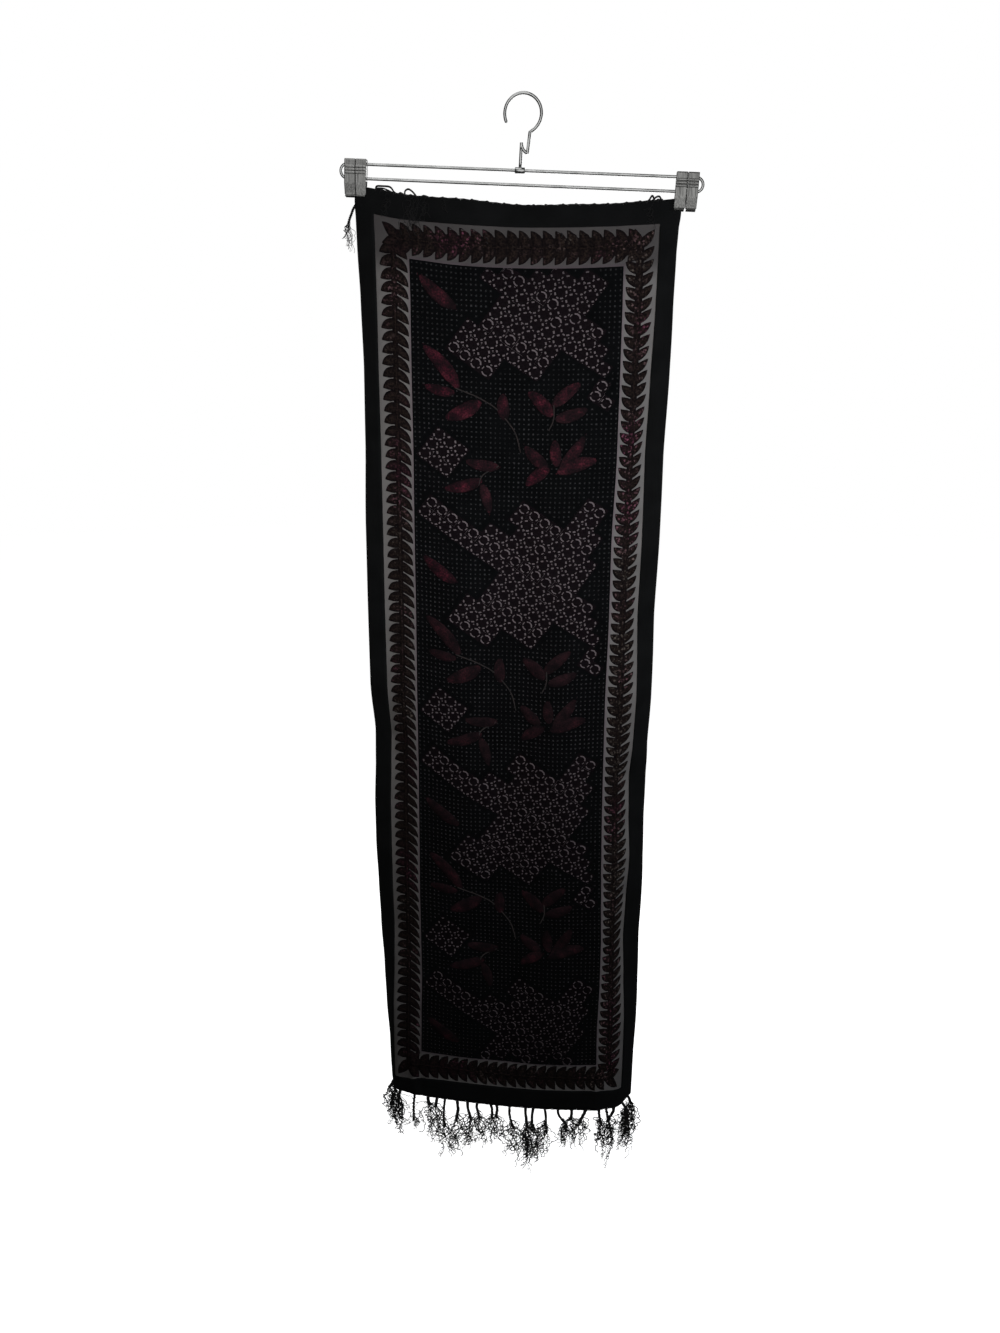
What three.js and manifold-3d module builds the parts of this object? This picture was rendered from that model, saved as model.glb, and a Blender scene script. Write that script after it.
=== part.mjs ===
// A black flocked scarf with fringed ends, clipped by its two top corners to a double-bar metal hanger.
// Millimetres, +Z up, the front faces -Y. The origin is where the hook bears on its rail.
import * as THREE from "three";
import { mergeVertices } from "three/addons/utils/BufferGeometryUtils.js";
import Module from "manifold-3d";

const wasm = await Module();
wasm.setup();

const SEAM = 0.3; // gap between pieces that touch

// Cloth, as cut
const PANEL = 266; // patterned middle, between the two leaf bands
const BAND = 42.5; // leaf band, down each side
const BORDER = 24.5; // plain pile edge, down each side
const LENGTH = 1265; // from the top edge to the bottom edge, without fringe
const WALL = 1.6;
const HALF_WIDTH = PANEL / 2 + BAND + BORDER;

// Cloth, as it hangs
const TOP_EDGE = -118.7; // height of the top edge at its middle
const ROW_TILT = 0.0245; // the right side hangs lower, mm for each mm across
const CLIP_TILT = 0.012; // more of it close to the clips
const CLIP_REACH = 60; // how far down the clips' tilt is felt
const SAG = 10; // rise of each row at SAG_AT from the middle
const SAG_AT = 183;
const WAVE = 133; // length of the soft waves across the panel
const WAVE_SHARE = 0.6; // of the panel's narrowing that its waves take up; creases take the rest
const LEAN_FROM = 600; // below this the cloth stands forward
const LEAN = 22; // forward at the bottom edge
const TURN = 7; // half the width over which a fold turns

// Sections down the cloth. panel is the width that the panel keeps, centre is its middle, and the last four
// say how far each band and border is folded back, in degrees.
const SECTIONS = [
  { down: 0, panel: 259, centre: -6.7, leftBorder: 0, leftBand: 0, rightBand: 0, rightBorder: 0 },
  { down: 13, panel: 263, centre: -8.4, leftBorder: 0, leftBand: 0, rightBand: 0, rightBorder: 0 },
  { down: 32, panel: 266, centre: -9.2, leftBorder: 14, leftBand: 6, rightBand: 10, rightBorder: 18 },
  { down: 60, panel: 266, centre: -8.4, leftBorder: 14, leftBand: 5, rightBand: 15, rightBorder: 24 },
  { down: 120, panel: 266, centre: -7.8, leftBorder: 23, leftBand: 5, rightBand: 20, rightBorder: 25 },
  { down: 205, panel: 266, centre: -7.8, leftBorder: 30, leftBand: 5, rightBand: 29, rightBorder: 8 },
  { down: 304, panel: 265, centre: -7.7, leftBorder: 24, leftBand: 5, rightBand: 35, rightBorder: 8 },
  { down: 408, panel: 262, centre: -9.4, leftBorder: 10, leftBand: 6, rightBand: 24, rightBorder: 16 },
  { down: 516, panel: 262, centre: -9.2, leftBorder: 9, leftBand: 4, rightBand: 29, rightBorder: 22 },
  { down: 629, panel: 261, centre: -10.2, leftBorder: 6, leftBand: 9, rightBand: 12, rightBorder: 33 },
  { down: 700, panel: 261, centre: -9.9, leftBorder: 12, leftBand: 22, rightBand: 22, rightBorder: 34 },
  { down: 746, panel: 261, centre: -9.6, leftBorder: 14, leftBand: 18, rightBand: 34, rightBorder: 14 },
  { down: 807, panel: 262, centre: -9.5, leftBorder: 12, leftBand: 13, rightBand: 30, rightBorder: 28 },
  { down: 869, panel: 263, centre: -8.8, leftBorder: 12, leftBand: 13, rightBand: 23, rightBorder: 38 },
  { down: 933, panel: 265, centre: -8, leftBorder: 22, leftBand: 15, rightBand: 36, rightBorder: 20 },
  { down: 998, panel: 266, centre: -6.7, leftBorder: 26, leftBand: 17, rightBand: 44, rightBorder: 18 },
  { down: 1065, panel: 265, centre: -6.2, leftBorder: 44, leftBand: 9, rightBand: 37, rightBorder: 30 },
  { down: 1133, panel: 264.5, centre: -7.7, leftBorder: 58, leftBand: 4, rightBand: 23, rightBorder: 43 },
  { down: 1200, panel: 266, centre: -7.6, leftBorder: 68, leftBand: 8, rightBand: 25, rightBorder: 50 },
  { down: 1275, panel: 266, centre: -7.6, leftBorder: 72, leftBand: 12, rightBand: 29, rightBorder: 48 },
];

const PANEL_CELLS = 8; // grid cells across the panel
const BAND_CELLS = 3;
const BORDER_CELLS = 3;
const ROW_CELLS = 56; // grid cells down the cloth, below the clips
const CLIPPED = 13; // the clips hold this much of the cloth flat

// Fringe
const STRIP_TALL = 2.4;
const STRIP_THICK = 1.8;
const NECK_LENGTH = 17; // the twisted top of a tassel
const NECK_RADIUS = 1.9;
const STRANDS = 4; // loose strands below each neck
const STRAND_RADIUS = 0.75;
const STRAND_ROOT = 0.95; // from the middle of the neck to each strand's root
const STRAND_SPREAD = 4.2;
const STRAND_STEPS = 4;

// Bottom tassels: where each leaves the edge, counted across the flat cloth from its middle, its length,
// and how far its tip has swung to the right.
const BOTTOM_TASSELS = [
  { at: -188, length: 80, swing: -4 },
  { at: -157, length: 75, swing: -6 },
  { at: -127, length: 74, swing: -5 },
  { at: -105, length: 80, swing: 3 },
  { at: -93, length: 100, swing: 2 },
  { at: -83, length: 108, swing: -1 },
  { at: -68, length: 98, swing: 3 },
  { at: -48, length: 90, swing: 3 },
  { at: -34, length: 80, swing: -1 },
  { at: -18, length: 76, swing: -3 },
  { at: -8, length: 74, swing: 7 },
  { at: 16, length: 104, swing: 1 },
  { at: 34, length: 106, swing: -5 },
  { at: 45, length: 102, swing: -6 },
  { at: 61, length: 76, swing: -3 },
  { at: 87, length: 76, swing: 1 },
  { at: 98, length: 90, swing: -2 },
  { at: 117, length: 70, swing: -5 },
  { at: 142, length: 94, swing: 3 },
  { at: 157, length: 100, swing: -4 },
  { at: 187, length: 78, swing: -2 },
];

// Top tassels fall behind the cloth, between the two clips that grip it. Their strip stands on the top edge.
const TOP_STRIP_HALF = 176;
const TOP_STRIP_BACK = 4.6; // reaches this far behind the cloth's middle
const TOP_ROOT_BACK = 3.6;
const TOP_TASSELS = 19;
const TOP_PITCH = 19;
const TOP_LENGTH = 84;
const TOP_CLEAR = 4.2; // the tassels fall this much further behind
// A stray tassel at the left corner, which swings out past the cloth's edge.
const STRAY_TASSEL = [
  [-196, 14, -112.5],
  [-209, 15, -114.5],
  [-215, 14, -126],
  [-221, 13, -141],
  [-223, 12, -156],
  [-218, 10, -172],
];

// Hanger
const HANGER_TILT = 0.0487; // the whole hanger hangs lower on the right, in radians
const WIRE_RADIUS = 1.7;
const WIRE_SIDES = 10;
const UPPER_BAR = -82; // heights of the two bars below the hook's bearing
const LOWER_BAR = -98;
const HALF_SPAN = 210.5; // middle of the hanger to where its ends turn
const END_STEPS = 10;
const HOOK_WIRE = 1.8;
const HOOK_INNER = 20; // takes a rail up to 36 mm thick
const HOOK_TURN = 12; // radius of the bend over the stem
const HOOK_END = 205; // the angle at which the hook's arc stops, in degrees
const COLLAR_RADIUS = 3.4;
const COLLAR_LENGTH = 12;

// Clips: spring-steel jaws in front and behind, on a saddle that both bars run through
const CLIP_WIDTH = 13.2;
const JAW_THICK = 1.1;
const SADDLE_HALF = 4;
const SADDLE_ABOVE = 3; // above the upper bar's middle
const SADDLE_BELOW = 19.5;
const JAW_BELOW = 37.2; // the jaws' lower lips
const PINCH_FROM = 33;
const LIP_TALL = 2.2;
const LIP_FLARE = 1.4;
const RIB_FROM = 3.4; // below the upper bar's middle
const RIB_PITCH = 3.4;
const RIB_TALL = 1.4;
const RIB_OUT = 0.5;
const RIBS = 3;
const CLIPS = [
  { name: "clip_left_outer", across: -206.9, grips: false },
  { name: "clip_left_inner", across: -193.3, grips: true },
  { name: "clip_right_inner", across: 193.3, grips: true },
  { name: "clip_right_outer", across: 206.9, grips: false },
];

const pile = new THREE.MeshStandardMaterial({ color: 0x100d10, roughness: 0.95, metalness: 0 });
const yarn = new THREE.MeshStandardMaterial({ color: 0x1a171b, roughness: 0.9, metalness: 0 });
const chrome = new THREE.MeshStandardMaterial({ color: 0xb9bbb8, roughness: 0.22, metalness: 1 });
const clipSteel = new THREE.MeshStandardMaterial({ color: 0x7b7d7a, roughness: 0.32, metalness: 1 });

// ---- the hanging cloth as a function of its flat sizes ----

const radians = THREE.MathUtils.degToRad;
const smooth = (x) => THREE.MathUtils.smoothstep(x, 0, 1);

// A section's values at a distance down, eased between the table's rows.
function sectionAt(down) {
  let i = 0;
  while (i < SECTIONS.length - 2 && down > SECTIONS[i + 1].down) i++;
  const a = SECTIONS[i];
  const b = SECTIONS[i + 1];
  const t = THREE.MathUtils.clamp((down - a.down) / (b.down - a.down), 0, 1);
  const eased = 0.5 * t + 0.5 * smooth(t);
  const out = {};
  for (const key of Object.keys(a)) out[key] = a[key] + (b[key] - a[key]) * eased;
  return out;
}

// How far out and how far back a side lies, at a distance past the panel's edge.
function foldedSide(past, bandAngle, borderAngle) {
  const step = 1.5;
  let out = 0;
  let back = 0;
  for (let s = 0; s < past; s += step) {
    const width = Math.min(step, past - s);
    const middle = s + width / 2;
    const intoBand = smooth((middle + TURN) / (2 * TURN));
    const intoBorder = smooth((middle - BAND + TURN) / (2 * TURN));
    const angle = radians(bandAngle * intoBand + (borderAngle - bandAngle) * intoBorder);
    out += Math.cos(angle) * width;
    back += Math.sin(angle) * width;
  }
  return { out, back };
}

// The middle of the cloth's wall at a flat place: across from the middle, down from the top edge.
function clothPoint(across, down) {
  const section = sectionAt(down);
  const side = Math.sign(across);
  const inPanel = Math.min(Math.abs(across), PANEL / 2);
  const height = (WAVE / Math.PI) * Math.sqrt(WAVE_SHARE * (PANEL / section.panel - 1));
  let x = (side * inPanel * section.panel) / PANEL;
  let y = -height * (1 - Math.cos((2 * Math.PI * inPanel) / WAVE));
  const past = Math.abs(across) - inPanel;
  if (past > 0) {
    const [band, border] =
      side < 0
        ? [section.leftBand, section.leftBorder]
        : [section.rightBand, section.rightBorder];
    const folded = foldedSide(past, band, border);
    x += side * folded.out;
    y += folded.back;
  }
  y -= LEAN * Math.max(0, (down - LEAN_FROM) / (LENGTH - LEAN_FROM)) ** 2;
  const tilt = ROW_TILT + CLIP_TILT * Math.exp(-down / CLIP_REACH);
  const z = TOP_EDGE - down - tilt * x + SAG * (across / SAG_AT) ** 2;
  return new THREE.Vector3(section.centre + x, y, z);
}

// A point of the cloth moved out along its normal: behind the wall if outward is positive.
function clothAt(across, down, outward) {
  const d = 2;
  const alongAcross = clothPoint(across + d, down).sub(clothPoint(across - d, down));
  const alongDown = clothPoint(across, down + d).sub(clothPoint(across, down - d));
  const normal = alongAcross.cross(alongDown).normalize();
  return clothPoint(across, down).addScaledVector(normal, outward);
}

// ---- solids ----

// A closed wall between two sheets of the same grid: near and far give each grid point's two faces.
function wallGeometry(columns, rows, near, far) {
  const points = [];
  for (const sheet of [near, far]) {
    for (const down of rows) for (const across of columns) points.push(...sheet(across, down));
  }
  const wide = columns.length;
  const tall = rows.length;
  const at = (sheet, r, c) => sheet * wide * tall + r * wide + c;
  const faces = [];
  const quad = (a, b, c, d) => faces.push(a, b, c, a, c, d);
  for (let r = 0; r < tall - 1; r++) {
    for (let c = 0; c < wide - 1; c++) {
      quad(at(0, r, c), at(0, r + 1, c), at(0, r + 1, c + 1), at(0, r, c + 1));
      quad(at(1, r, c), at(1, r, c + 1), at(1, r + 1, c + 1), at(1, r + 1, c));
    }
  }
  for (let c = 0; c < wide - 1; c++) {
    quad(at(0, 0, c), at(0, 0, c + 1), at(1, 0, c + 1), at(1, 0, c));
    quad(at(0, tall - 1, c + 1), at(0, tall - 1, c), at(1, tall - 1, c), at(1, tall - 1, c + 1));
  }
  for (let r = 0; r < tall - 1; r++) {
    quad(at(0, r + 1, 0), at(0, r, 0), at(1, r, 0), at(1, r + 1, 0));
    quad(at(0, r, wide - 1), at(0, r + 1, wide - 1), at(1, r + 1, wide - 1), at(1, r, wide - 1));
  }
  return new THREE.BufferGeometry()
    .setAttribute("position", new THREE.Float32BufferAttribute(points, 3))
    .setIndex(faces);
}

function toSolid(geometry) {
  const bare = geometry.clone();
  bare.deleteAttribute("normal");
  bare.deleteAttribute("uv");
  const merged = mergeVertices(bare, 1e-4);
  return new wasm.Manifold(
    new wasm.Mesh({
      numProp: 3,
      vertProperties: new Float32Array(merged.attributes.position.array),
      triVerts: new Uint32Array(merged.index.array),
    }),
  );
}

function toGeometry(solid) {
  const mesh = solid.getMesh();
  return new THREE.BufferGeometry()
    .setAttribute("position", new THREE.BufferAttribute(mesh.vertProperties, 3))
    .setIndex(new THREE.BufferAttribute(mesh.triVerts, 1));
}

// A round or few-sided bar along a path.
function barGeometry(path, radius, sides, steps) {
  const ring = new THREE.Shape();
  for (let i = 0; i < sides; i++) {
    const angle = (2 * Math.PI * i) / sides;
    const point = [radius * Math.cos(angle), radius * Math.sin(angle)];
    if (i === 0) ring.moveTo(...point);
    else ring.lineTo(...point);
  }
  ring.closePath();
  return new THREE.ExtrudeGeometry(ring, { steps, bevelEnabled: false, extrudePath: path });
}

const named = (name, geometry, material) => {
  const mesh = new THREE.Mesh(geometry, material);
  mesh.name = name;
  return mesh;
};

// ---- scarf ----

// Grid lines across the cloth, with one at each edge of the panel and of the bands.
function clothColumns() {
  const stops = [
    { to: -HALF_WIDTH + BORDER, cells: BORDER_CELLS },
    { to: -PANEL / 2, cells: BAND_CELLS },
    { to: PANEL / 2, cells: PANEL_CELLS },
    { to: PANEL / 2 + BAND, cells: BAND_CELLS },
    { to: HALF_WIDTH, cells: BORDER_CELLS },
  ];
  const columns = [-HALF_WIDTH];
  for (const { to, cells } of stops) {
    const from = columns[columns.length - 1];
    for (let i = 1; i <= cells; i++) columns.push(from + ((to - from) * i) / cells);
  }
  return columns;
}

const spaced = (from, to, cells) =>
  Array.from({ length: cells + 1 }, (_, i) => from + ((to - from) * i) / cells);

function scarfCloth() {
  const geometry = wallGeometry(
    clothColumns(),
    [0, ...spaced(CLIPPED, LENGTH, ROW_CELLS)],
    (across, down) => clothAt(across, down, -WALL / 2),
    (across, down) => clothAt(across, down, WALL / 2),
  );
  return named("scarf_cloth", geometry, pile);
}

// A small repeatable spread of angles and lengths, so that no two tassels are alike.
const varied = (i, k) => {
  const s = Math.sin(i * 12.9898 + k * 78.233) * 43758.5453;
  return s - Math.floor(s);
};

// A twisted neck from root, and strands that part below it and run along the rest of the path.
function tasselSolids(path, index) {
  const curve = new THREE.CatmullRomCurve3(path);
  const whole = curve.getLength();
  const neckShare = NECK_LENGTH / whole;
  const neck = new THREE.LineCurve3(curve.getPointAt(0), curve.getPointAt(neckShare));
  const solids = [toSolid(barGeometry(neck, NECK_RADIUS, 4, 1))];
  for (let s = 0; s < STRANDS; s++) {
    const turn = (2 * Math.PI * s) / STRANDS;
    const reach = STRAND_SPREAD * (0.6 + 0.4 * varied(index, s + 10));
    const end = 0.84 + 0.16 * varied(index, s + 20);
    const points = [];
    for (let i = 0; i <= STRAND_STEPS; i++) {
      const t = i / STRAND_STEPS;
      const along = neckShare * 0.9 + (end - neckShare * 0.9) * t;
      const spread = STRAND_ROOT + (reach - STRAND_ROOT) * Math.sin(0.6 * Math.PI * t);
      const twist = turn + 0.5 * t;
      const flat = 1 - 0.45 * t;
      points.push(
        curve
          .getPointAt(along)
          .add(new THREE.Vector3(spread * Math.cos(twist), flat * spread * Math.sin(twist), 0)),
      );
    }
    const strand = new THREE.CatmullRomCurve3(points);
    solids.push(toSolid(barGeometry(strand, STRAND_RADIUS, 3, STRAND_STEPS)));
  }
  return solids;
}

// The path of a tassel that hangs straight down from a point and swings a little.
function hangingPath(root, length, swing) {
  return [0, 0.25, 0.5, 0.75, 1].map(
    (t) => new THREE.Vector3(root.x + swing * t * t, root.y, root.z - length * t),
  );
}

function bottomFringe() {
  const lower = LENGTH + SEAM;
  const strip = wallGeometry(
    clothColumns(),
    [lower, lower + STRIP_TALL],
    (across, down) => clothAt(across, down, -STRIP_THICK / 2),
    (across, down) => clothAt(across, down, STRIP_THICK / 2),
  );
  const solids = [toSolid(strip)];
  BOTTOM_TASSELS.forEach(({ at, length, swing }, i) => {
    const root = clothPoint(at, lower + STRIP_TALL / 2);
    solids.push(...tasselSolids(hangingPath(root, length, swing), i));
  });
  return named("bottom_fringe", toGeometry(wasm.Manifold.union(solids)), yarn);
}

function topFringe() {
  const columns = clothColumns().filter((across) => Math.abs(across) < TOP_STRIP_HALF);
  const strip = wallGeometry(
    columns,
    [-SEAM - STRIP_TALL, -SEAM],
    (across, down) => clothAt(across, down, -STRIP_THICK / 2),
    (across, down) => clothAt(across, down, TOP_STRIP_BACK),
  );
  const solids = [toSolid(strip)];
  for (let i = 0; i < TOP_TASSELS; i++) {
    const at = (i - (TOP_TASSELS - 1) / 2) * TOP_PITCH;
    const length = TOP_LENGTH * (0.86 + 0.28 * varied(i, 3));
    const swing = 8 * (varied(i, 5) - 0.5);
    const path = [0, 0.25, 0.5, 0.75, 1].map((t) => {
      const behind = TOP_ROOT_BACK + TOP_CLEAR * Math.min(1, 4 * t);
      return clothAt(at + swing * t * t, length * t - STRIP_TALL / 2 - SEAM, behind);
    });
    solids.push(...tasselSolids(path, i + 40));
  }
  const start = clothAt(columns[0], -STRIP_TALL / 2 - SEAM, TOP_ROOT_BACK);
  const stray = [start, ...STRAY_TASSEL.map((p) => new THREE.Vector3(...p))];
  solids.push(...tasselSolids(stray, 77));
  return named("top_fringe", toGeometry(wasm.Manifold.union(solids)), yarn);
}

// ---- hanger ----

function bar(name, height) {
  const path = new THREE.LineCurve3(
    new THREE.Vector3(-HALF_SPAN, 0, height),
    new THREE.Vector3(HALF_SPAN, 0, height),
  );
  return named(name, barGeometry(path, WIRE_RADIUS, WIRE_SIDES, 1), chrome);
}

// The rounded turn that joins the two bars at one side.
function barEnd(name, side) {
  const radius = (UPPER_BAR - LOWER_BAR) / 2;
  const middle = (UPPER_BAR + LOWER_BAR) / 2;
  const points = spaced(-Math.PI / 2, Math.PI / 2, END_STEPS).map(
    (a) =>
      new THREE.Vector3(
        side * (HALF_SPAN + SEAM + radius * Math.cos(a)),
        0,
        middle + radius * Math.sin(a),
      ),
  );
  const path = new THREE.CatmullRomCurve3(points);
  return named(name, barGeometry(path, WIRE_RADIUS, WIRE_SIDES, END_STEPS), chrome);
}

// A stem on a collar round the upper bar, a bend, and a round arc over the rail.
function hook() {
  const radius = HOOK_INNER + HOOK_WIRE;
  const centre = new THREE.Vector2(0, -HOOK_INNER);
  const bendHeight = centre.y - Math.sqrt((radius + HOOK_TURN) ** 2 - HOOK_TURN ** 2);
  const meet = Math.atan2(bendHeight - centre.y, HOOK_TURN);
  const points = [new THREE.Vector3(0, 0, UPPER_BAR + COLLAR_RADIUS - 0.8)];
  for (const a of spaced(Math.PI, Math.PI + meet, 5)) {
    const x = HOOK_TURN + HOOK_TURN * Math.cos(a);
    points.push(new THREE.Vector3(x, 0, bendHeight + HOOK_TURN * Math.sin(Math.PI - a) * -1));
  }
  for (const a of spaced(meet, radians(HOOK_END), 16).slice(1)) {
    points.push(
      new THREE.Vector3(centre.x + radius * Math.cos(a), 0, centre.y + radius * Math.sin(a)),
    );
  }
  const wire = toSolid(barGeometry(new THREE.CatmullRomCurve3(points), HOOK_WIRE, WIRE_SIDES, 30));
  const along = (reach) =>
    new THREE.LineCurve3(
      new THREE.Vector3(-reach, 0, UPPER_BAR),
      new THREE.Vector3(reach, 0, UPPER_BAR),
    );
  const half = COLLAR_LENGTH / 2;
  const sleeve = toSolid(barGeometry(along(half), COLLAR_RADIUS, WIRE_SIDES, 1));
  const hole = toSolid(barGeometry(along(half + 1), WIRE_RADIUS + SEAM + 0.1, WIRE_SIDES, 1));
  return named("hook", toGeometry(wire.add(sleeve).subtract(hole)), chrome);
}

// The jaw's side outline: straight past the saddle, in to the pinch, and out again at the lip.
function jawOutline(pinch) {
  const outer = SADDLE_HALF + SEAM;
  const inside = [
    [outer, -SADDLE_ABOVE],
    [outer, SADDLE_BELOW + 2],
    [pinch, PINCH_FROM],
    [pinch, JAW_BELOW - LIP_TALL],
    [pinch + LIP_FLARE, JAW_BELOW],
  ];
  const outside = [
    [pinch + LIP_FLARE + JAW_THICK, JAW_BELOW],
    [pinch + JAW_THICK, JAW_BELOW - LIP_TALL - 0.6],
    [pinch + JAW_THICK, PINCH_FROM + 0.6],
    [outer + JAW_THICK, SADDLE_BELOW + 2.6],
  ];
  for (let i = RIBS - 1; i >= 0; i--) {
    const top = RIB_FROM + i * RIB_PITCH;
    outside.push(
      [outer + JAW_THICK, top + RIB_TALL + 0.5],
      [outer + JAW_THICK + RIB_OUT, top + RIB_TALL],
      [outer + JAW_THICK + RIB_OUT, top],
      [outer + JAW_THICK, top - 0.5],
    );
  }
  outside.push([outer + JAW_THICK, -SADDLE_ABOVE]);
  return [...inside, ...outside];
}

// A jaw in front (side -1) or behind (side 1), pushed out along X from its side outline.
function jaw(name, across, side, pinch) {
  const shape = new THREE.Shape(
    jawOutline(pinch).map(([out, down]) => new THREE.Vector2(out, -down)),
  );
  const geometry = new THREE.ExtrudeGeometry(shape, { depth: CLIP_WIDTH, bevelEnabled: false });
  const out = new THREE.Vector3(0, side, 0);
  const up = new THREE.Vector3(0, 0, 1);
  const along = new THREE.Vector3(side, 0, 0);
  geometry.applyMatrix4(new THREE.Matrix4().makeBasis(out, up, along));
  const mesh = named(name, geometry, clipSteel);
  mesh.position.set(across - (side * CLIP_WIDTH) / 2, 0, UPPER_BAR);
  return mesh;
}

function saddle(name, across) {
  const tall = SADDLE_ABOVE + SADDLE_BELOW;
  const middle = UPPER_BAR + (SADDLE_ABOVE - SADDLE_BELOW) / 2;
  const block = new THREE.BoxGeometry(CLIP_WIDTH - 2, 2 * SADDLE_HALF, tall);
  block.translate(across, 0, middle);
  let solid = toSolid(block);
  for (const height of [UPPER_BAR, LOWER_BAR]) {
    const path = new THREE.LineCurve3(
      new THREE.Vector3(across - CLIP_WIDTH, 0, height),
      new THREE.Vector3(across + CLIP_WIDTH, 0, height),
    );
    solid = solid.subtract(toSolid(barGeometry(path, WIRE_RADIUS + SEAM + 0.1, WIRE_SIDES, 1)));
  }
  return named(name, toGeometry(solid), clipSteel);
}

function clip({ name, across, grips }) {
  const group = new THREE.Group();
  const pinch = grips ? WALL / 2 + SEAM : SEAM / 2;
  group.add(
    saddle(name + "_saddle", across),
    jaw(name + "_front_jaw", across, -1, pinch),
    jaw(name + "_back_jaw", across, 1, pinch),
  );
  return group;
}

function hanger() {
  const group = new THREE.Group();
  group.add(
    bar("hanger_upper_bar", UPPER_BAR),
    bar("hanger_lower_bar", LOWER_BAR),
    barEnd("hanger_left_end", -1),
    barEnd("hanger_right_end", 1),
    hook(),
    ...CLIPS.map(clip),
  );
  group.rotation.y = HANGER_TILT;
  return group;
}

const scarfOnHanger = new THREE.Group();
scarfOnHanger.add(scarfCloth(), bottomFringe(), topFringe(), hanger());

export default scarfOnHanger;
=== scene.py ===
import math

import bpy
import numpy as np
from mathutils import Matrix, Vector
from mathutils.geometry import delaunay_2d_cdt


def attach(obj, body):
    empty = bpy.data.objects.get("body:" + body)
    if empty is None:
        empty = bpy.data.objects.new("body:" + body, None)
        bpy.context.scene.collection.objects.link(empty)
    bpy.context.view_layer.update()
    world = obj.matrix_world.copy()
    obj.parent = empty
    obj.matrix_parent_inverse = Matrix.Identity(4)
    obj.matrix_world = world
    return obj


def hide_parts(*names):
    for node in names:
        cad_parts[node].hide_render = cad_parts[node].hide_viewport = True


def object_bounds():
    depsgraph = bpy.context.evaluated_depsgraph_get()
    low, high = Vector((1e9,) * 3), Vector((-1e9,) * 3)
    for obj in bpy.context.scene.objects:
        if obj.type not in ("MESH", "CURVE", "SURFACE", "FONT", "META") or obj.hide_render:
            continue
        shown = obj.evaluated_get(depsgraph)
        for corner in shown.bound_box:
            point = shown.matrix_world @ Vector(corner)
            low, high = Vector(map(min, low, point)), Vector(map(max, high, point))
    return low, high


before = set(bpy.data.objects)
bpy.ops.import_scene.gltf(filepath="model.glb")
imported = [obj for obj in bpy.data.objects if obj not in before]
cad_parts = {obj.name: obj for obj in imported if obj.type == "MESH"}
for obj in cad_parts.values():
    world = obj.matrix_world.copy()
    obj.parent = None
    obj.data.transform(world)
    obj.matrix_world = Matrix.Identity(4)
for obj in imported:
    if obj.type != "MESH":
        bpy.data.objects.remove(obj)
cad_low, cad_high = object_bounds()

MM = 0.001
rng = np.random.default_rng(11)

# ---- the cloth as it was cut, and its pattern ----

PANEL = 266.0
BAND = 42.5
TOP_BAND = 45.5  # the band is a little taller at the top
BORDER = 24.5
LENGTH = 1265.0
TOP_BORDER = 26.5
BOTTOM_BORDER = 30.0
HALF_PANEL = PANEL / 2
HALF_BAND_OUT = HALF_PANEL + BAND
HALF_WIDTH = HALF_BAND_OUT + BORDER
PANEL_TOP = TOP_BORDER + TOP_BAND
PANEL_BOTTOM = LENGTH - BOTTOM_BORDER - BAND
GROUND_THICK = 0.4
PILE = 0.7  # how far the pile stands out from the sheer ground
BACK_PILE = 0.15  # how far it shows through behind

# ---- the cloth as it hangs ----

TOP_EDGE = -118.7
ROW_TILT = 0.0245
CLIP_TILT = 0.012
CLIP_REACH = 60.0
SAG = 10.0
SAG_AT = 183.0
WAVE = 133.0
WAVE_SHARE = 0.6
LEAN_FROM = 600.0
LEAN = 22.0
TURN = 7.0
FOLD_STEP = 1.5
FLAT_STEP = 1.5  # how far to each side the cloth's slope is taken

# Down, the panel's width and centre as it hangs, then degrees folded back: left border, left band, right band
# and right border
SECTIONS = np.array([
    (0, 259, -6.7, 0, 0, 0, 0),
    (13, 263, -8.4, 0, 0, 0, 0),
    (32, 266, -9.2, 14, 6, 10, 18),
    (60, 266, -8.4, 14, 5, 15, 24),
    (120, 266, -7.8, 23, 5, 20, 25),
    (205, 266, -7.8, 30, 5, 29, 8),
    (304, 265, -7.7, 24, 5, 35, 8),
    (408, 262, -9.4, 10, 6, 24, 16),
    (516, 262, -9.2, 9, 4, 29, 22),
    (629, 261, -10.2, 6, 9, 12, 33),
    (700, 261, -9.9, 12, 22, 22, 34),
    (746, 261, -9.6, 14, 18, 34, 14),
    (807, 262, -9.5, 12, 13, 30, 28),
    (869, 263, -8.8, 12, 13, 23, 38),
    (933, 265, -8.0, 22, 15, 36, 20),
    (998, 266, -6.7, 26, 17, 44, 18),
    (1065, 265, -6.2, 44, 9, 37, 30),
    (1133, 264.5, -7.7, 58, 4, 23, 43),
    (1200, 266, -7.6, 68, 8, 25, 50),
    (1275, 266, -7.6, 72, 12, 29, 48),
], float)

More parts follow.
